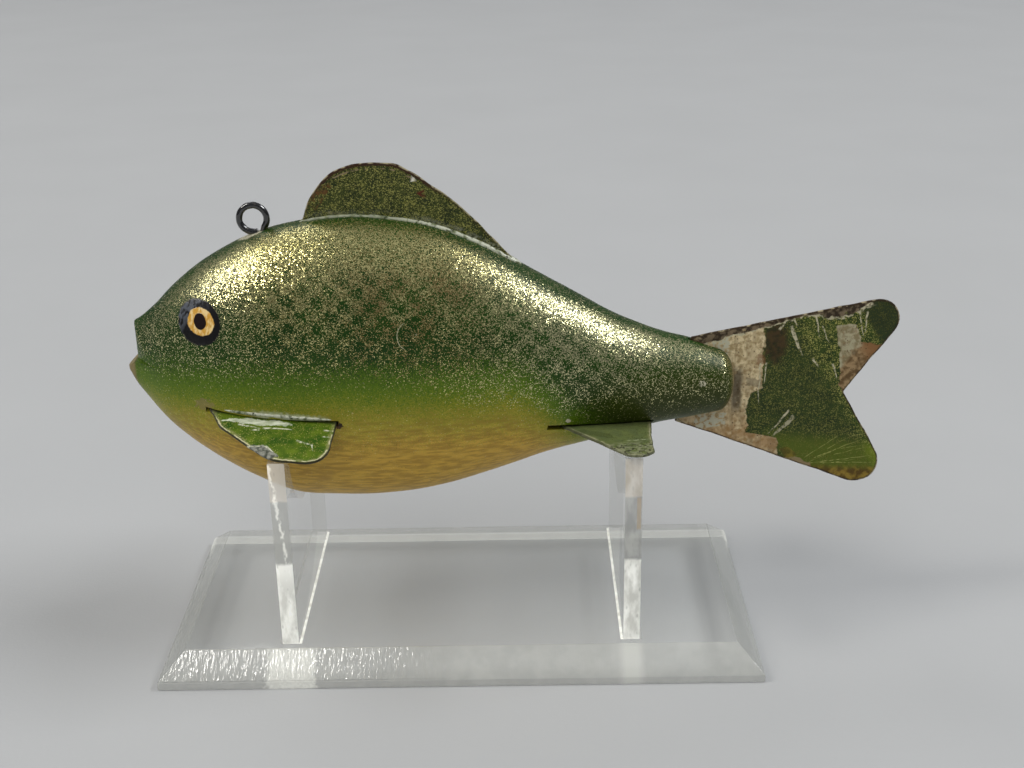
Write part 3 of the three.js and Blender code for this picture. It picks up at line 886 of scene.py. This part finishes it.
tail_outline = rounded([
    (jaw.x + tail_front + along * tail_length, tail_level + up * tail_span, radius * tail_length)
    for along, up, radius in tail_corners
])
tail_fin = tin_plate("tail_plate", snipped(tail_outline), upright_plane)
tail = TinFinish("tail_paint", (34, 52, 4), (56, 76, 14), 0.45)
low_lobe = tail.left_of((84, 35.5), (60, 38.5), 2) * tail.left_of((62, 36), (66, 31), 1.2)
tail.tint(low_lobe * (0.85 - tail.flake * 0.4), (120, 138, 18))
top_tip = tail.left_of((76.5, 64), (81, 57), 0.5)
tail.tint(top_tip * 0.8, (38, 50, 20))
fork_edge = tail.left_of((80.5, 33.5), (74.0, 44.5), 1.2)
tail.tint(fork_edge * 0.5, (38, 50, 14))
amber_spot = tail.within((62.6, 35.2), (64.5, 32.5), (66, 33.5), (64.6, 35.4)) * 0.6
amber = tail.left_of((82.5, 30.6), (68.5, 31.0), 0.9).most(amber_spot)
amber_tone = tail.mottled(1.4, 4, 0.38, 0.62, (92, 62, 18), (158, 128, 48))
tail.paint_over(amber * 0.85, amber_tone, 0.3, 0.01)
wandering = tail.ragged * 1.2 + (tail.cloud(3.5, 2) - 0.5) * 1.6
edge = 58.6 - tail.up.rise(48.3, 46.3) * 2.6 + tail.up.rise(38.8, 37.3) * 6 + tail.up.rise(34, 31.5) * 7
cream = (edge - tail.across + wandering).rise(-0.15, 0.15)
cream_tone = tail.mottled(0.8, 5, 0.33, 0.6, (170, 148, 106), (226, 208, 166))
browned = tail.up.rise(46, 38) * tail.cloud(2, 3).rise(0.3, 0.55)
cream_tone = tail.blend(browned * 0.7, cream_tone, (160, 118, 68))
brushed_down = tail.cloud(1.1, 3, tail.stretched(1, 1, 0.25)).rise(0.5, 0.62)
cream_tone = tail.blend(brushed_down * 0.35, cream_tone, (124, 98, 62))
speckle = tail.grains(0.7, output="Distance").rise(0.26, 0.12) * tail.cloud(2.2, 2).rise(0.42, 0.56)
cream_tone = tail.blend(speckle * 0.85, cream_tone, (66, 46, 26))
tail.paint_over(cream, cream_tone, 0.8, 0.05)
stain_x, stain_y = (tail.across - 60.9) / 2.6, (tail.up - 57.4) / 4.6
stain = (stain_x.beside(stain_y) + tail.ragged * 0.5).rise(1.15, 0.55) * tail.across.rise(58.4, 59)
stain_tone = tail.mottled(1.1, 4, 0.38, 0.62, (42, 34, 12), (74, 52, 26))
tail.paint_over(stain * 0.85, stain_tone, 0.4)
rust_spot = tail.within((57.3, 52.9), (59.2, 53.1), (59.0, 55.2), (57.6, 55.0))
tail.paint_over(rust_spot * 0.6, (128, 86, 54), 0.4, 0)
# A dark brown patch on the plate just behind the wood's end: partly a dark brush smear, partly painted shade
# beside the wood. A smaller smudge lies further back.
smudge_and_shade = tail.across.rise(52.6, 53.3) * tail.across.rise(55.2, 54.2)
smudge_and_shade = smudge_and_shade * tail.up.rise(41.5, 45) * tail.up.rise(53.5, 51)
smudge_and_shade = smudge_and_shade.most(tail.within((55.4, 50.4), (55.6, 48.6), (58.6, 48.2), (58.4, 49.8)) * 0.6)
tail.paint_over(smudge_and_shade * tail.cloud(1.2, 3).rise(0.25, 0.5) * 0.8, (66, 56, 42), 0.3, 0)
upper_filler = tail.within((47.9, 59.6), (49.9, 55.2), (52.3, 55.2), (52.0, 59.8))
lower_filler = tail.within((45.6, 43), (46.2, 39.2), (51.8, 40.5), (51.8, 43))
filled = upper_filler.most(lower_filler) * tail.cloud(0.8, 4).rise(0.42, 0.56)
tail.paint_over(filled * 0.85, (190, 190, 168), 0.6, 0)
strip_line = 59.6 + (tail.across - 55.3) * 0.285
strip_line = strip_line - tail.across.rise(66, 73) * 2.3 + tail.across.rise(74, 78) * 0.6
over_line = tail.up - strip_line + tail.ragged * 0.9
strip = over_line.rise(-0.15, 0.15) * tail.across.rise(80, 77.5)
strip_tone = tail.mottled(1.1, 4, 0.4, 0.62, (54, 42, 26), (124, 108, 84))
tail.paint_over(strip * tail.cloud(1.6, 3).rise(0.22, 0.42), strip_tone, 0.5)
under_strip = abs(over_line + 0.1).rise(0.26, 0.08) * tail.across.rise(80, 77)
under_strip = under_strip * tail.cloud(1.2, 3).rise(0.42, 0.54)
tail.paint_over(under_strip, (190, 182, 150), 0.8, 0.05)
pale_block = tail.within((72.9, 56.2), (77.1, 57.6), (76.1, 60.8), (72.0, 60.6))
triangle = tail.within((72.9, 58.2), (73.6, 48.4), (74.4, 46.8), (82.2, 56.4), (77.4, 57.4))
pink_tone = tail.mottled(1.1, 4, 0.35, 0.65, (104, 80, 48), (170, 142, 102))
pink_tone = tail.blend(tail.left_of((78.5, 54), (76.2, 58.4), 1.4), (142, 102, 62), pink_tone)
whitish = tail.left_of((73, 51.4), (78.6, 59.0), 0.7) * tail.cloud(1.4, 3).rise(0.25, 0.45)
whitish_tone = tail.mottled(0.9, 4, 0.38, 0.6, (142, 132, 98), (186, 180, 148))
pink_tone = tail.blend(whitish * 0.85, pink_tone, whitish_tone)
pink_tone = tail.blend(speckle * 0.8, pink_tone, (86, 58, 34))
tail.paint_over(triangle.most(pale_block), pink_tone, 0.8, 0.05)
tail.paint_over(tail.within((64.4, 33.1), (68.6, 31.2), (69.0, 31.8), (66, 33.3)) * 0.9, (156, 136, 98), 0.8)
pale_scratches = tail.scratches(
    ((63.6, 60.6), (66.1, 54.6), 0.75), ((68.0, 53.9), (69.5, 52.2), 0.55),
    ((71.9, 52.9), (73.2, 49.4), 0.35), ((68.2, 62.9), (69.2, 58.0), 0.35),
    ((64.0, 62.1), (64.9, 60.6), 0.4), ((76.3, 63.8), (77.6, 57.8), 0.35),
    ((78.8, 65.0), (76.0, 63.8), 0.55), ((77.9, 63.4), (77.8, 59.0), 0.35),
    ((72.0, 62.2), (74.0, 62.0), 0.45), ((61.4, 60.0), (62.9, 62.2), 0.5),
    ((58.1, 54.4), (58.1, 44.6), 0.4), ((59.3, 53.2), (59.0, 48.8), 0.35),
    ((64.2, 43.4), (60.3, 38.2), 0.4), ((65.2, 42.0), (61.2, 37.7), 0.9, 0.72),
    ((69.6, 60.6), (71.0, 57.0), 0.25),
)
tail.paint_over(pale_scratches, (200, 192, 160), 0.9, 0.05)
scored = tail.scratches(
    ((67.8, 33.2), (76.7, 39.5), 0.14), ((69.6, 33.0), (78.4, 36.6), 0.16),
    ((72.0, 34.9), (77.4, 38.0), 0.1), ((68.8, 32.2), (76.0, 35.8), 0.1),
    ((70.4, 32.0), (81.2, 33.4), 0.17), ((73.4, 33.6), (80.8, 35.2), 0.1),
    ((68.9, 31.9), (81.7, 31.8), 0.16), ((71.4, 31.6), (78.0, 32.6), 0.1),
    ((74.8, 34.8), (79.6, 35.6), 0.1), ((76.6, 37.6), (80.2, 38.4), 0.12),
    ((79.2, 36.2), (81.6, 36.0), 0.2),
)
tail.paint_over(scored * 0.8, (196, 194, 112), 0.6, 0.02)
tail_rim = tail.by_rim(0.3, 0.42, 0.18)
tail.paint_over(tail_rim * 0.85, (50, 36, 22), 0.5)
tail_chips = tail.by_rim(0.3, 0.24, 0.08) * tail.cloud(1.4, 2).rise(0.48, 0.6)
tail.paint_over(tail_chips, (164, 152, 122), 0.8)
tail.finish_off()
dress(tail_fin, tail)
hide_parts("tail_fin")
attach(tail_fin, "root")

# Side fins
# Two pairs of small tin plates, pushed into saw slots in the flanks and gone over with green paint. The
# front pair is held by ridges of putty. The right-hand fins mirror the left-hand ones.
pectoral_reach, pelvic_reach = 9.9, 17.8
pectoral_corners = [(0, 0, 0), (0.116, 0.37, 0.3), (0.56, 1, 1), (1.005, 1, 0.42), (1, 0, 0)]
pelvic_corners = [(0, 0, 0), (0.47, 1.05, 0.16), (0.71, 0.86, 0.07), (0.85, 0.4, 0), (1, 0, 0)]


def side_fin(name, corners, reach, tab, plane):
    start, along, out, root = plane
    blade = [(x * root, y * reach, radius * reach) for x, y, radius in corners]
    outline = rounded([*blade, (root, -tab, 0), (0, -tab, 0)])
    return tin_plate(name, snipped(outline), standing(start, along, out))


def worn_fin(name, sheen):
    """The green paint of a side fin, with a pale worn band and a thin dark line along its rim."""
    finish = TinFinish(name, (46, 80, 5), (98, 118, 24), 0.14)
    band = finish.by_rim(0.4, 1.0, 0.45)
    finish.paint_over(band * finish.cloud(1.6, 3).rise(0.34, 0.56) * sheen, (158, 152, 104), 0.4, 0.01)
    filed = abs(finish.rim + finish.ragged * 0.35 - 0.34).rise(0.14, 0.06) * finish.up.rise(1, 2)
    finish.paint_over(filed * finish.cloud(1.3, 3).rise(0.4, 0.5), (204, 198, 160), 0.8, 0.02)
    line = finish.by_rim(0.12, 0.24, 0.12)
    finish.paint_over(line * 0.9, (40, 30, 18), 0.4)
    return finish


pectoral_left = side_fin(
    "pectoral_plate_left", pectoral_corners, pectoral_reach, pectoral_tab, pectoral_plane,
)
pectoral = worn_fin("pectoral_paint", 0.5)
chipped = pectoral.within((12, 11), (8.4, 8.0), (9.1, 7.2), (12.4, 6.9), (14.2, 7.9), (15.1, 9.0))
bare_tin = pectoral.mottled(0.7, 4, 0.35, 0.65, (70, 74, 62), (150, 150, 138))
pectoral.paint_over(chipped, bare_tin, 0.7, 0.06)
# A whitish band just under the root, along the fold where the tin is bent out of its slot, is a painted
# highlight.
fold_painted_highlight_and_shade = pectoral.within(
    (2.3, 2.2), (4.2, 1.5), (8.6, 1.2), (12.4, 0.9), (15.2, 1.2), (16.4, 1.8), (12, 2.3), (6, 2.4),
)
fold_painted_highlight_and_shade = fold_painted_highlight_and_shade * (0.45 + pectoral.cloud(0.8, 4, pectoral.stretched(0.3, 1, 1)).rise(0.35, 0.6) * 0.5)
pectoral.paint_over(fold_painted_highlight_and_shade, (226, 230, 208), 0.5, 0)
pectoral_scratches = pectoral.scratches(
    ((17.7, 5.1), (21.0, 5.8), 0.45), ((20.7, 5.6), (21.4, 7.0), 0.3), ((22.2, 2.1), (23.9, 2.0), 0.3),
    ((6.2, 2.8), (10.6, 3.0), 0.35), ((10.4, 3.3), (8.9, 3.7), 0.5), ((11.0, 3.0), (16.4, 2.6), 0.4),
    ((22.3, 3.5), (23.8, 3.4), 0.25), ((8.6, 7.5), (12.3, 6.9), 0.35), ((12.3, 6.8), (14.6, 8.4), 0.45),
)
pectoral.paint_over(pectoral_scratches, (206, 206, 180), 0.7, 0.04)
# A dark line along the root, where the fin goes into the slot, is painted shade.
pectoral.paint_over(pectoral.up.rise(0.9, 0.2) * 0.8, (30, 32, 16), 0.2, 0)
pectoral.finish_off()
pelvic_left = side_fin("pelvic_plate_left", pelvic_corners, pelvic_reach, pelvic_tab, pelvic_plane)
pelvic = worn_fin("pelvic_paint", 0.8)
pelvic.tint(0.65, (100, 104, 74))
# A darker strip along a fold near the root is painted shade.
fold_painted_highlight_and_shade = pelvic.within((-0.5, 3.2), (3, 2.4), (7.5, 5.5), (7.6, 8), (3.4, 5.6)) * 0.4
pelvic.paint_over(fold_painted_highlight_and_shade, (50, 58, 30), 0, 0)
mottled = pelvic.up.rise(9.5, 12) * pelvic.cloud(1.1, 3).rise(0.42, 0.56)
pelvic.paint_over(mottled * 0.6, (140, 141, 112), 0.5, 0.03)
dark_mottle = pelvic.up.rise(10, 12) * pelvic.cloud(0.8, 3).rise(0.55, 0.62)
pelvic.paint_over(dark_mottle * 0.8, (44, 44, 30), 0.4, 0.03)
pelvic.paint_over(pelvic.scratch((9.5, 9.6), (14.2, 9.4), 0.5), (150, 156, 120), 0.4, 0)
# A dark line along the root, where the fin goes into the slot, is painted shade.
pelvic.paint_over(pelvic.up.rise(0.8, 0.3) * 0.8, (26, 30, 12), 0.2, 0)
pelvic.finish_off()
for left, finish, node in ((pectoral_left, pectoral, "pectoral_fin"), (pelvic_left, pelvic, "pelvic_fin")):
    for fin, side in ((left, "left"), (other_side(left), "right")):
        dress(fin, finish)
        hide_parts(f"{node}_{side}")
        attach(fin, "root")


def putty_ridge(name, plane, start_share, end_share, rise, size):
    """A lumpy ridge of putty that lies on the skin along the upper side of a slot."""
    start, along, out, root = plane
    normal = along.cross(out)
    if normal.z < 0:
        normal = -normal
    path, radii = [], []
    steps = 60
    for k in range(steps + 1):
        share = start_share + (end_share - start_share) * k / steps
        point = start + along * (root * share) + normal * rise
        local = point - jaw
        middle, up, down, half = section_at(local.x)
        turn = (local.z - middle) / (up if local.z > middle else down)
        skin = half * math.sqrt(max(0, 1 - turn * turn))
        lump = noise.noise((point.x / 1.5, 1, 2)) + 0.5 * noise.noise((point.x / 0.6, 4, 2))
        path.append(Vector((point.x, math.copysign(skin - 0.05 + 0.08 * lump, point.y), point.z)))
        taper = min(rounding(k + 0.5, 14), rounding(steps - k + 0.5, 14))
        radii.append(max(0.04, size * (1 + 0.3 * lump) * taper))
    return rod(name, path, radii, Vector((0, 0, 1)))


putty_left = putty_ridge("pectoral_putty_left", pectoral_plane, 0.12, 0.96, 0.82, 0.34)
for putty in (putty_left, other_side(putty_left)):
    dress(putty, filler)
    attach(putty, "root")

# Screw eye
# A small bought screw eye of black steel wire, screwed into the back just ahead of the fin. The line that
# the decoy hangs by is tied to it.
wire_radius, ring_radius, eye_place, eye_stand, shank_place = 0.635, 2.54, 0.2245, 2.75, 1.75
eye_centre = jaw + Vector((eye_place * wood_length, 0, back_level(eye_place * wood_length) + eye_stand))
ring_start, ring_end, ring_steps = 73, 395, 48
shank_path = ((0.1, 2.1), (0, 2.6), (0, 3.4), (0, 4.6), (0, 6))
eye_path = []
for step in range(ring_steps + 1):
    angle = math.radians(-ring_start - (ring_end - ring_start) * step / ring_steps)
    eye_path.append(eye_centre + Vector((math.cos(angle), 0, math.sin(angle))) * ring_radius)
for aside, below in shank_path:
    eye_path.append(eye_centre + Vector((shank_place + aside, 0, -below)))
screw_eye = rod("screw_eye", eye_path, [wire_radius * 0.97] * len(eye_path), Vector((0, 1, 0)), 20)
black_wire = Finish("black_wire", {"Coat Weight": 1, "Coat Roughness": 0.07, "Coat IOR": 1.7})
rubbed = black_wire.cloud(0.9, 3).rise(0.6, 0.72)
black_wire.feed(
    Base_Color=black_wire.blend(rubbed * 0.6, (14, 14, 15), (92, 86, 78)),
    Metallic=0.3 + rubbed * 0.5,
    Roughness=0.24 + rubbed * 0.15,
    Normal=black_wire.relief(black_wire.cloud(0.7, 3) * 0.03),
)
dress(screw_eye, black_wire)
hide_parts("line_tie")
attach(screw_eye, "root")

# The stand
# A plate of clear acrylic with broad sawn bevels, and two clear uprights cemented on it, each with a round
# saddle cut in its top for the fish. The flats are polished, and the sawn edges show the marks of the blade.
base_length, base_width, base_height, base_lip, base_bevel, base_edge = 114.3, 57.15, 5.9, 1.5, 4.7, 0.18
base = new_piece("clear_base", bpy.ops.mesh.primitive_cube_add, size=1)
for vertex in base.data.vertices:
    vertex.co = (
        math.copysign(base_length / 2, vertex.co.x), math.copysign(base_width / 2, vertex.co.y),
        base_lip if vertex.co.z > 0 else 0,
    )
set_edit(base)
bpy.ops.mesh.select_all(action="DESELECT")
bpy.ops.object.mode_set(mode="OBJECT")
for face in base.data.polygons:
    face.select = face.normal.z > 0.5
bpy.ops.object.mode_set(mode="EDIT")
bpy.ops.mesh.extrude_region_move(TRANSFORM_OT_translate={"value": (0, 0, base_height - base_lip)})
bpy.ops.object.mode_set(mode="OBJECT")
for vertex in base.data.vertices:
    if vertex.co.z > base_lip + 0.1:
        vertex.co.x -= math.copysign(base_bevel, vertex.co.x)
        vertex.co.y -= math.copysign(base_bevel, vertex.co.y)
ease_edges(base, base_edge, 20)
base.data.transform(Matrix.Scale(mm, 4))
bpy.ops.object.shade_smooth_by_angle(angle=math.radians(20))

saddle_radius, saddle_level, saddle_facets = 18, 45.8, 192
upright_edge, foot_gap, cement_flare = 0.14, 0.04, 0.6


def clear_upright(name, node):
    low, high = (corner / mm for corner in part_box(node))
    plate = new_piece(name, bpy.ops.mesh.primitive_cube_add, size=1)
    middle, foot = (low.x + high.x) / 2, base_height + foot_gap
    size = (high.x - low.x, high.y - low.y, high.z - foot)
    plate.data.transform(Matrix.Translation((middle, 0, foot + size[2] / 2)) @ Matrix.Diagonal((*size, 1)))
    saw = new_piece(
        "saw", bpy.ops.mesh.primitive_cylinder_add,
        vertices=saddle_facets, radius=saddle_radius, depth=20, rotation=(0, math.pi / 2, 0),
    )
    bpy.ops.object.transform_apply(location=True, rotation=True, scale=True)
    saw.data.transform(Matrix.Translation((middle, 0, saddle_level)))
    cut_away(plate, saw)
    ease_edges(plate, upright_edge, 40)
    for vertex in plate.data.vertices:
        if vertex.co.z < foot + 0.02:
            vertex.co.x += math.copysign(cement_flare, vertex.co.x - middle)
    plate.data.transform(Matrix.Scale(mm, 4))
    bpy.ops.object.shade_smooth_by_angle(angle=math.radians(30))
    return plate


front_upright = clear_upright("clear_upright_front", "stand_upright_front")
rear_upright = clear_upright("clear_upright_rear", "stand_upright_rear")

flats = Finish("clear_flats", {
    "Alpha": 0.12, "Specular IOR Level": 1, "Coat Weight": 1, "Coat Roughness": 0.02,
})
# On the plate's top, a darker band near each end is painted shade: the inner edge of the bevel as it is seen
# through the clear plate.
painted_bevel_shade = abs(abs(flats.x) - 49).rise(1.8, 0.4) * flats.z.rise(6.5, 5.8) * abs(flats.y).rise(24, 23)
flats.feed(
    Base_Color=flats.blend(painted_bevel_shade, (246, 248, 244), (192, 194, 190)),
    Roughness=0.06 + flats.cloud(14, 3) * 0.06,
    Normal=flats.relief(flats.cloud(9, 1) * 0.01),
)
# The bevels carry painted light: paler patches on the front bevel below each upright's foot, where the foot
# shows through, a glow there under the front upright, and a glow on the far bevel that is strongest on its
# low lip.
bevels = Finish("sawn_bevels", {"Alpha": 0.5, "Specular IOR Level": 1, "IOR": 1.9, "Emission Strength": 0.3})
front_foot_painted_light = abs(bevels.x + 32 + (bevels.cloud(0.7, 3) - 0.5) * 3).rise(5.4, 3.6) * bevels.y.rise(-23, -24.5)
rear_foot_painted_light = abs(bevels.x - 32.2).rise(3, 0.8) * bevels.y.rise(-23, -24.5)
milky = bevels.mottled(4, 3, 0.3, 0.7, (196, 197, 190), (208, 209, 201))
milky = bevels.blend((abs(bevels.x) - abs(bevels.y) - 28.6).rise(-0.2, 0.2), milky, (190, 192, 186))
blade = bevels.cloud(0.6, 2, bevels.stretched(1, 0.25, 0.25)) * (0.05 + bevels.x.rise(6, -20) * 0.3)
far_bevel_painted_glow = bevels.y.rise(22, 24) * (0.1 + bevels.z.rise(2.8, 1.8) * 0.9)
painted_glow_from_foot = front_foot_painted_light * (0.6 + bevels.cloud(0.6, 3).rise(0.4, 0.6) * 0.4)
bevels.feed(
    Base_Color=bevels.blend(front_foot_painted_light.most(rear_foot_painted_light), milky, (240, 240, 230)),
    Emission_Color=bevels.blend(far_bevel_painted_glow.most(painted_glow_from_foot), (0, 0, 0), (250, 250, 238)),
    Roughness=0.14 + abs(bevels.y).rise(20, 24) * 0.02,
    Normal=bevels.relief(blade * bevels.z.rise(1.6, 1.8)),
)
# The sawn edges and the cemented seams carry painted light: a faint glow all over, more on the lower part of
# each edge, along the seam at the foot, and in a bright line down the front upright.
edges = Finish("sawn_edges", {
    "Alpha": 0.7, "Coat Weight": 1, "Coat Roughness": 0.2, "Emission Strength": 0.56,
})
wander = (edges.cloud(1.3, 2) - 0.5) * 1.4
foot = (edges.z + wander * 0.6).rise(23.6, 22.9)
seam_painted_glow = edges.z.rise(6.7, 6.4) * (0.5 + edges.cloud(0.7, 3).rise(0.35, 0.6) * 0.5)
painted_gleam = abs(edges.x + 32.2 + (edges.z - 28) * 0.1 + wander).rise(0.45, 0.1) * (1 - foot)
painted_gleam = painted_gleam * edges.cloud(0.9, 3, edges.stretched(1, 1, 0.5)).rise(0.38, 0.55)
arm = (edges.z + wander * 0.4).rise(36, 36.5)
streaks = edges.cloud(1.8, 4, edges.stretched(1, 1, 0.4)).rise(0.32, 0.68)
streaks = streaks.most(edges.x.rise(-20, -30) * (edges.z.rise(16, 24) * 0.6 + 0.25))
scores = edges.grains(1.1, edges.stretched(1, 1, 0.4), "Distance").rise(0.22, 0.08)
clouded = edges.blend(streaks, (140, 141, 138), (190, 190, 184))
# The lower part of each edge is painted brighter, as light.
clouded = edges.blend(foot, clouded, edges.blend(streaks, (216, 215, 204), (255, 255, 250)))
clouded = edges.blend(arm, clouded, edges.blend(streaks, (196, 182, 160), (236, 228, 214)))
clouded = edges.blend(scores * (0.2 + foot * 0.4), clouded, (128, 128, 122))
amber_streak = abs(edges.x - 33.4).rise(0.5, 0.25) * edges.z.rise(29.2, 30) * edges.z.rise(36.4, 35.8)
clouded = edges.blend(amber_streak * 0.7, clouded, (176, 142, 78))
painted_edge_glow = (foot * (0.3 + streaks * 0.7)).most(seam_painted_glow).most(painted_gleam)
edges.feed(
    Base_Color=clouded,
    Emission_Color=edges.blend(painted_edge_glow, (90, 90, 86), (255, 255, 244)),
    Roughness=0.4,
    Normal=edges.relief(edges.cloud(0.7, 3, edges.stretched(1, 1, 0.5)) * 0.1),
)
dull = Finish("dull_edges", {"Alpha": 0.22, "Coat Weight": 1, "Coat Roughness": 0.15})
dull.feed(
    Base_Color=dull.blend(dull.cloud(2, 3), (196, 196, 188), (226, 226, 218)),
    Roughness=0.4,
    Normal=dull.relief(dull.cloud(0.7, 3, dull.stretched(1, 1, 0.5)) * 0.06),
)

dress(base, flats)
base.data.materials.append(bevels.material)
for face in base.data.polygons:
    face.material_index = 0 if abs(face.normal.z) > 0.999 else 1
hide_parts("stand_base")
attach(base, "root")
for upright, node, inner_side in (
    (front_upright, "stand_upright_front", 1), (rear_upright, "stand_upright_rear", -1),
):
    dress(upright, flats)
    upright.data.materials.append(edges.material)
    upright.data.materials.append(dull.material)
    for face in upright.data.polygons:
        at_foot = face.center.z < (base_height + 0.3) * mm and face.normal.z > -0.5
        seam = at_foot and face.normal.x * inner_side > 0 and abs(face.normal.y) < 0.9
        front = face.normal.y < -0.9
        flat = abs(face.normal.x) > 0.999 or face.normal.z < -0.9 and face.center.z < 10 * mm
        face.material_index = 1 if seam and not flat or front else 0 if flat else 2
    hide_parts(node)
    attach(upright, "root")
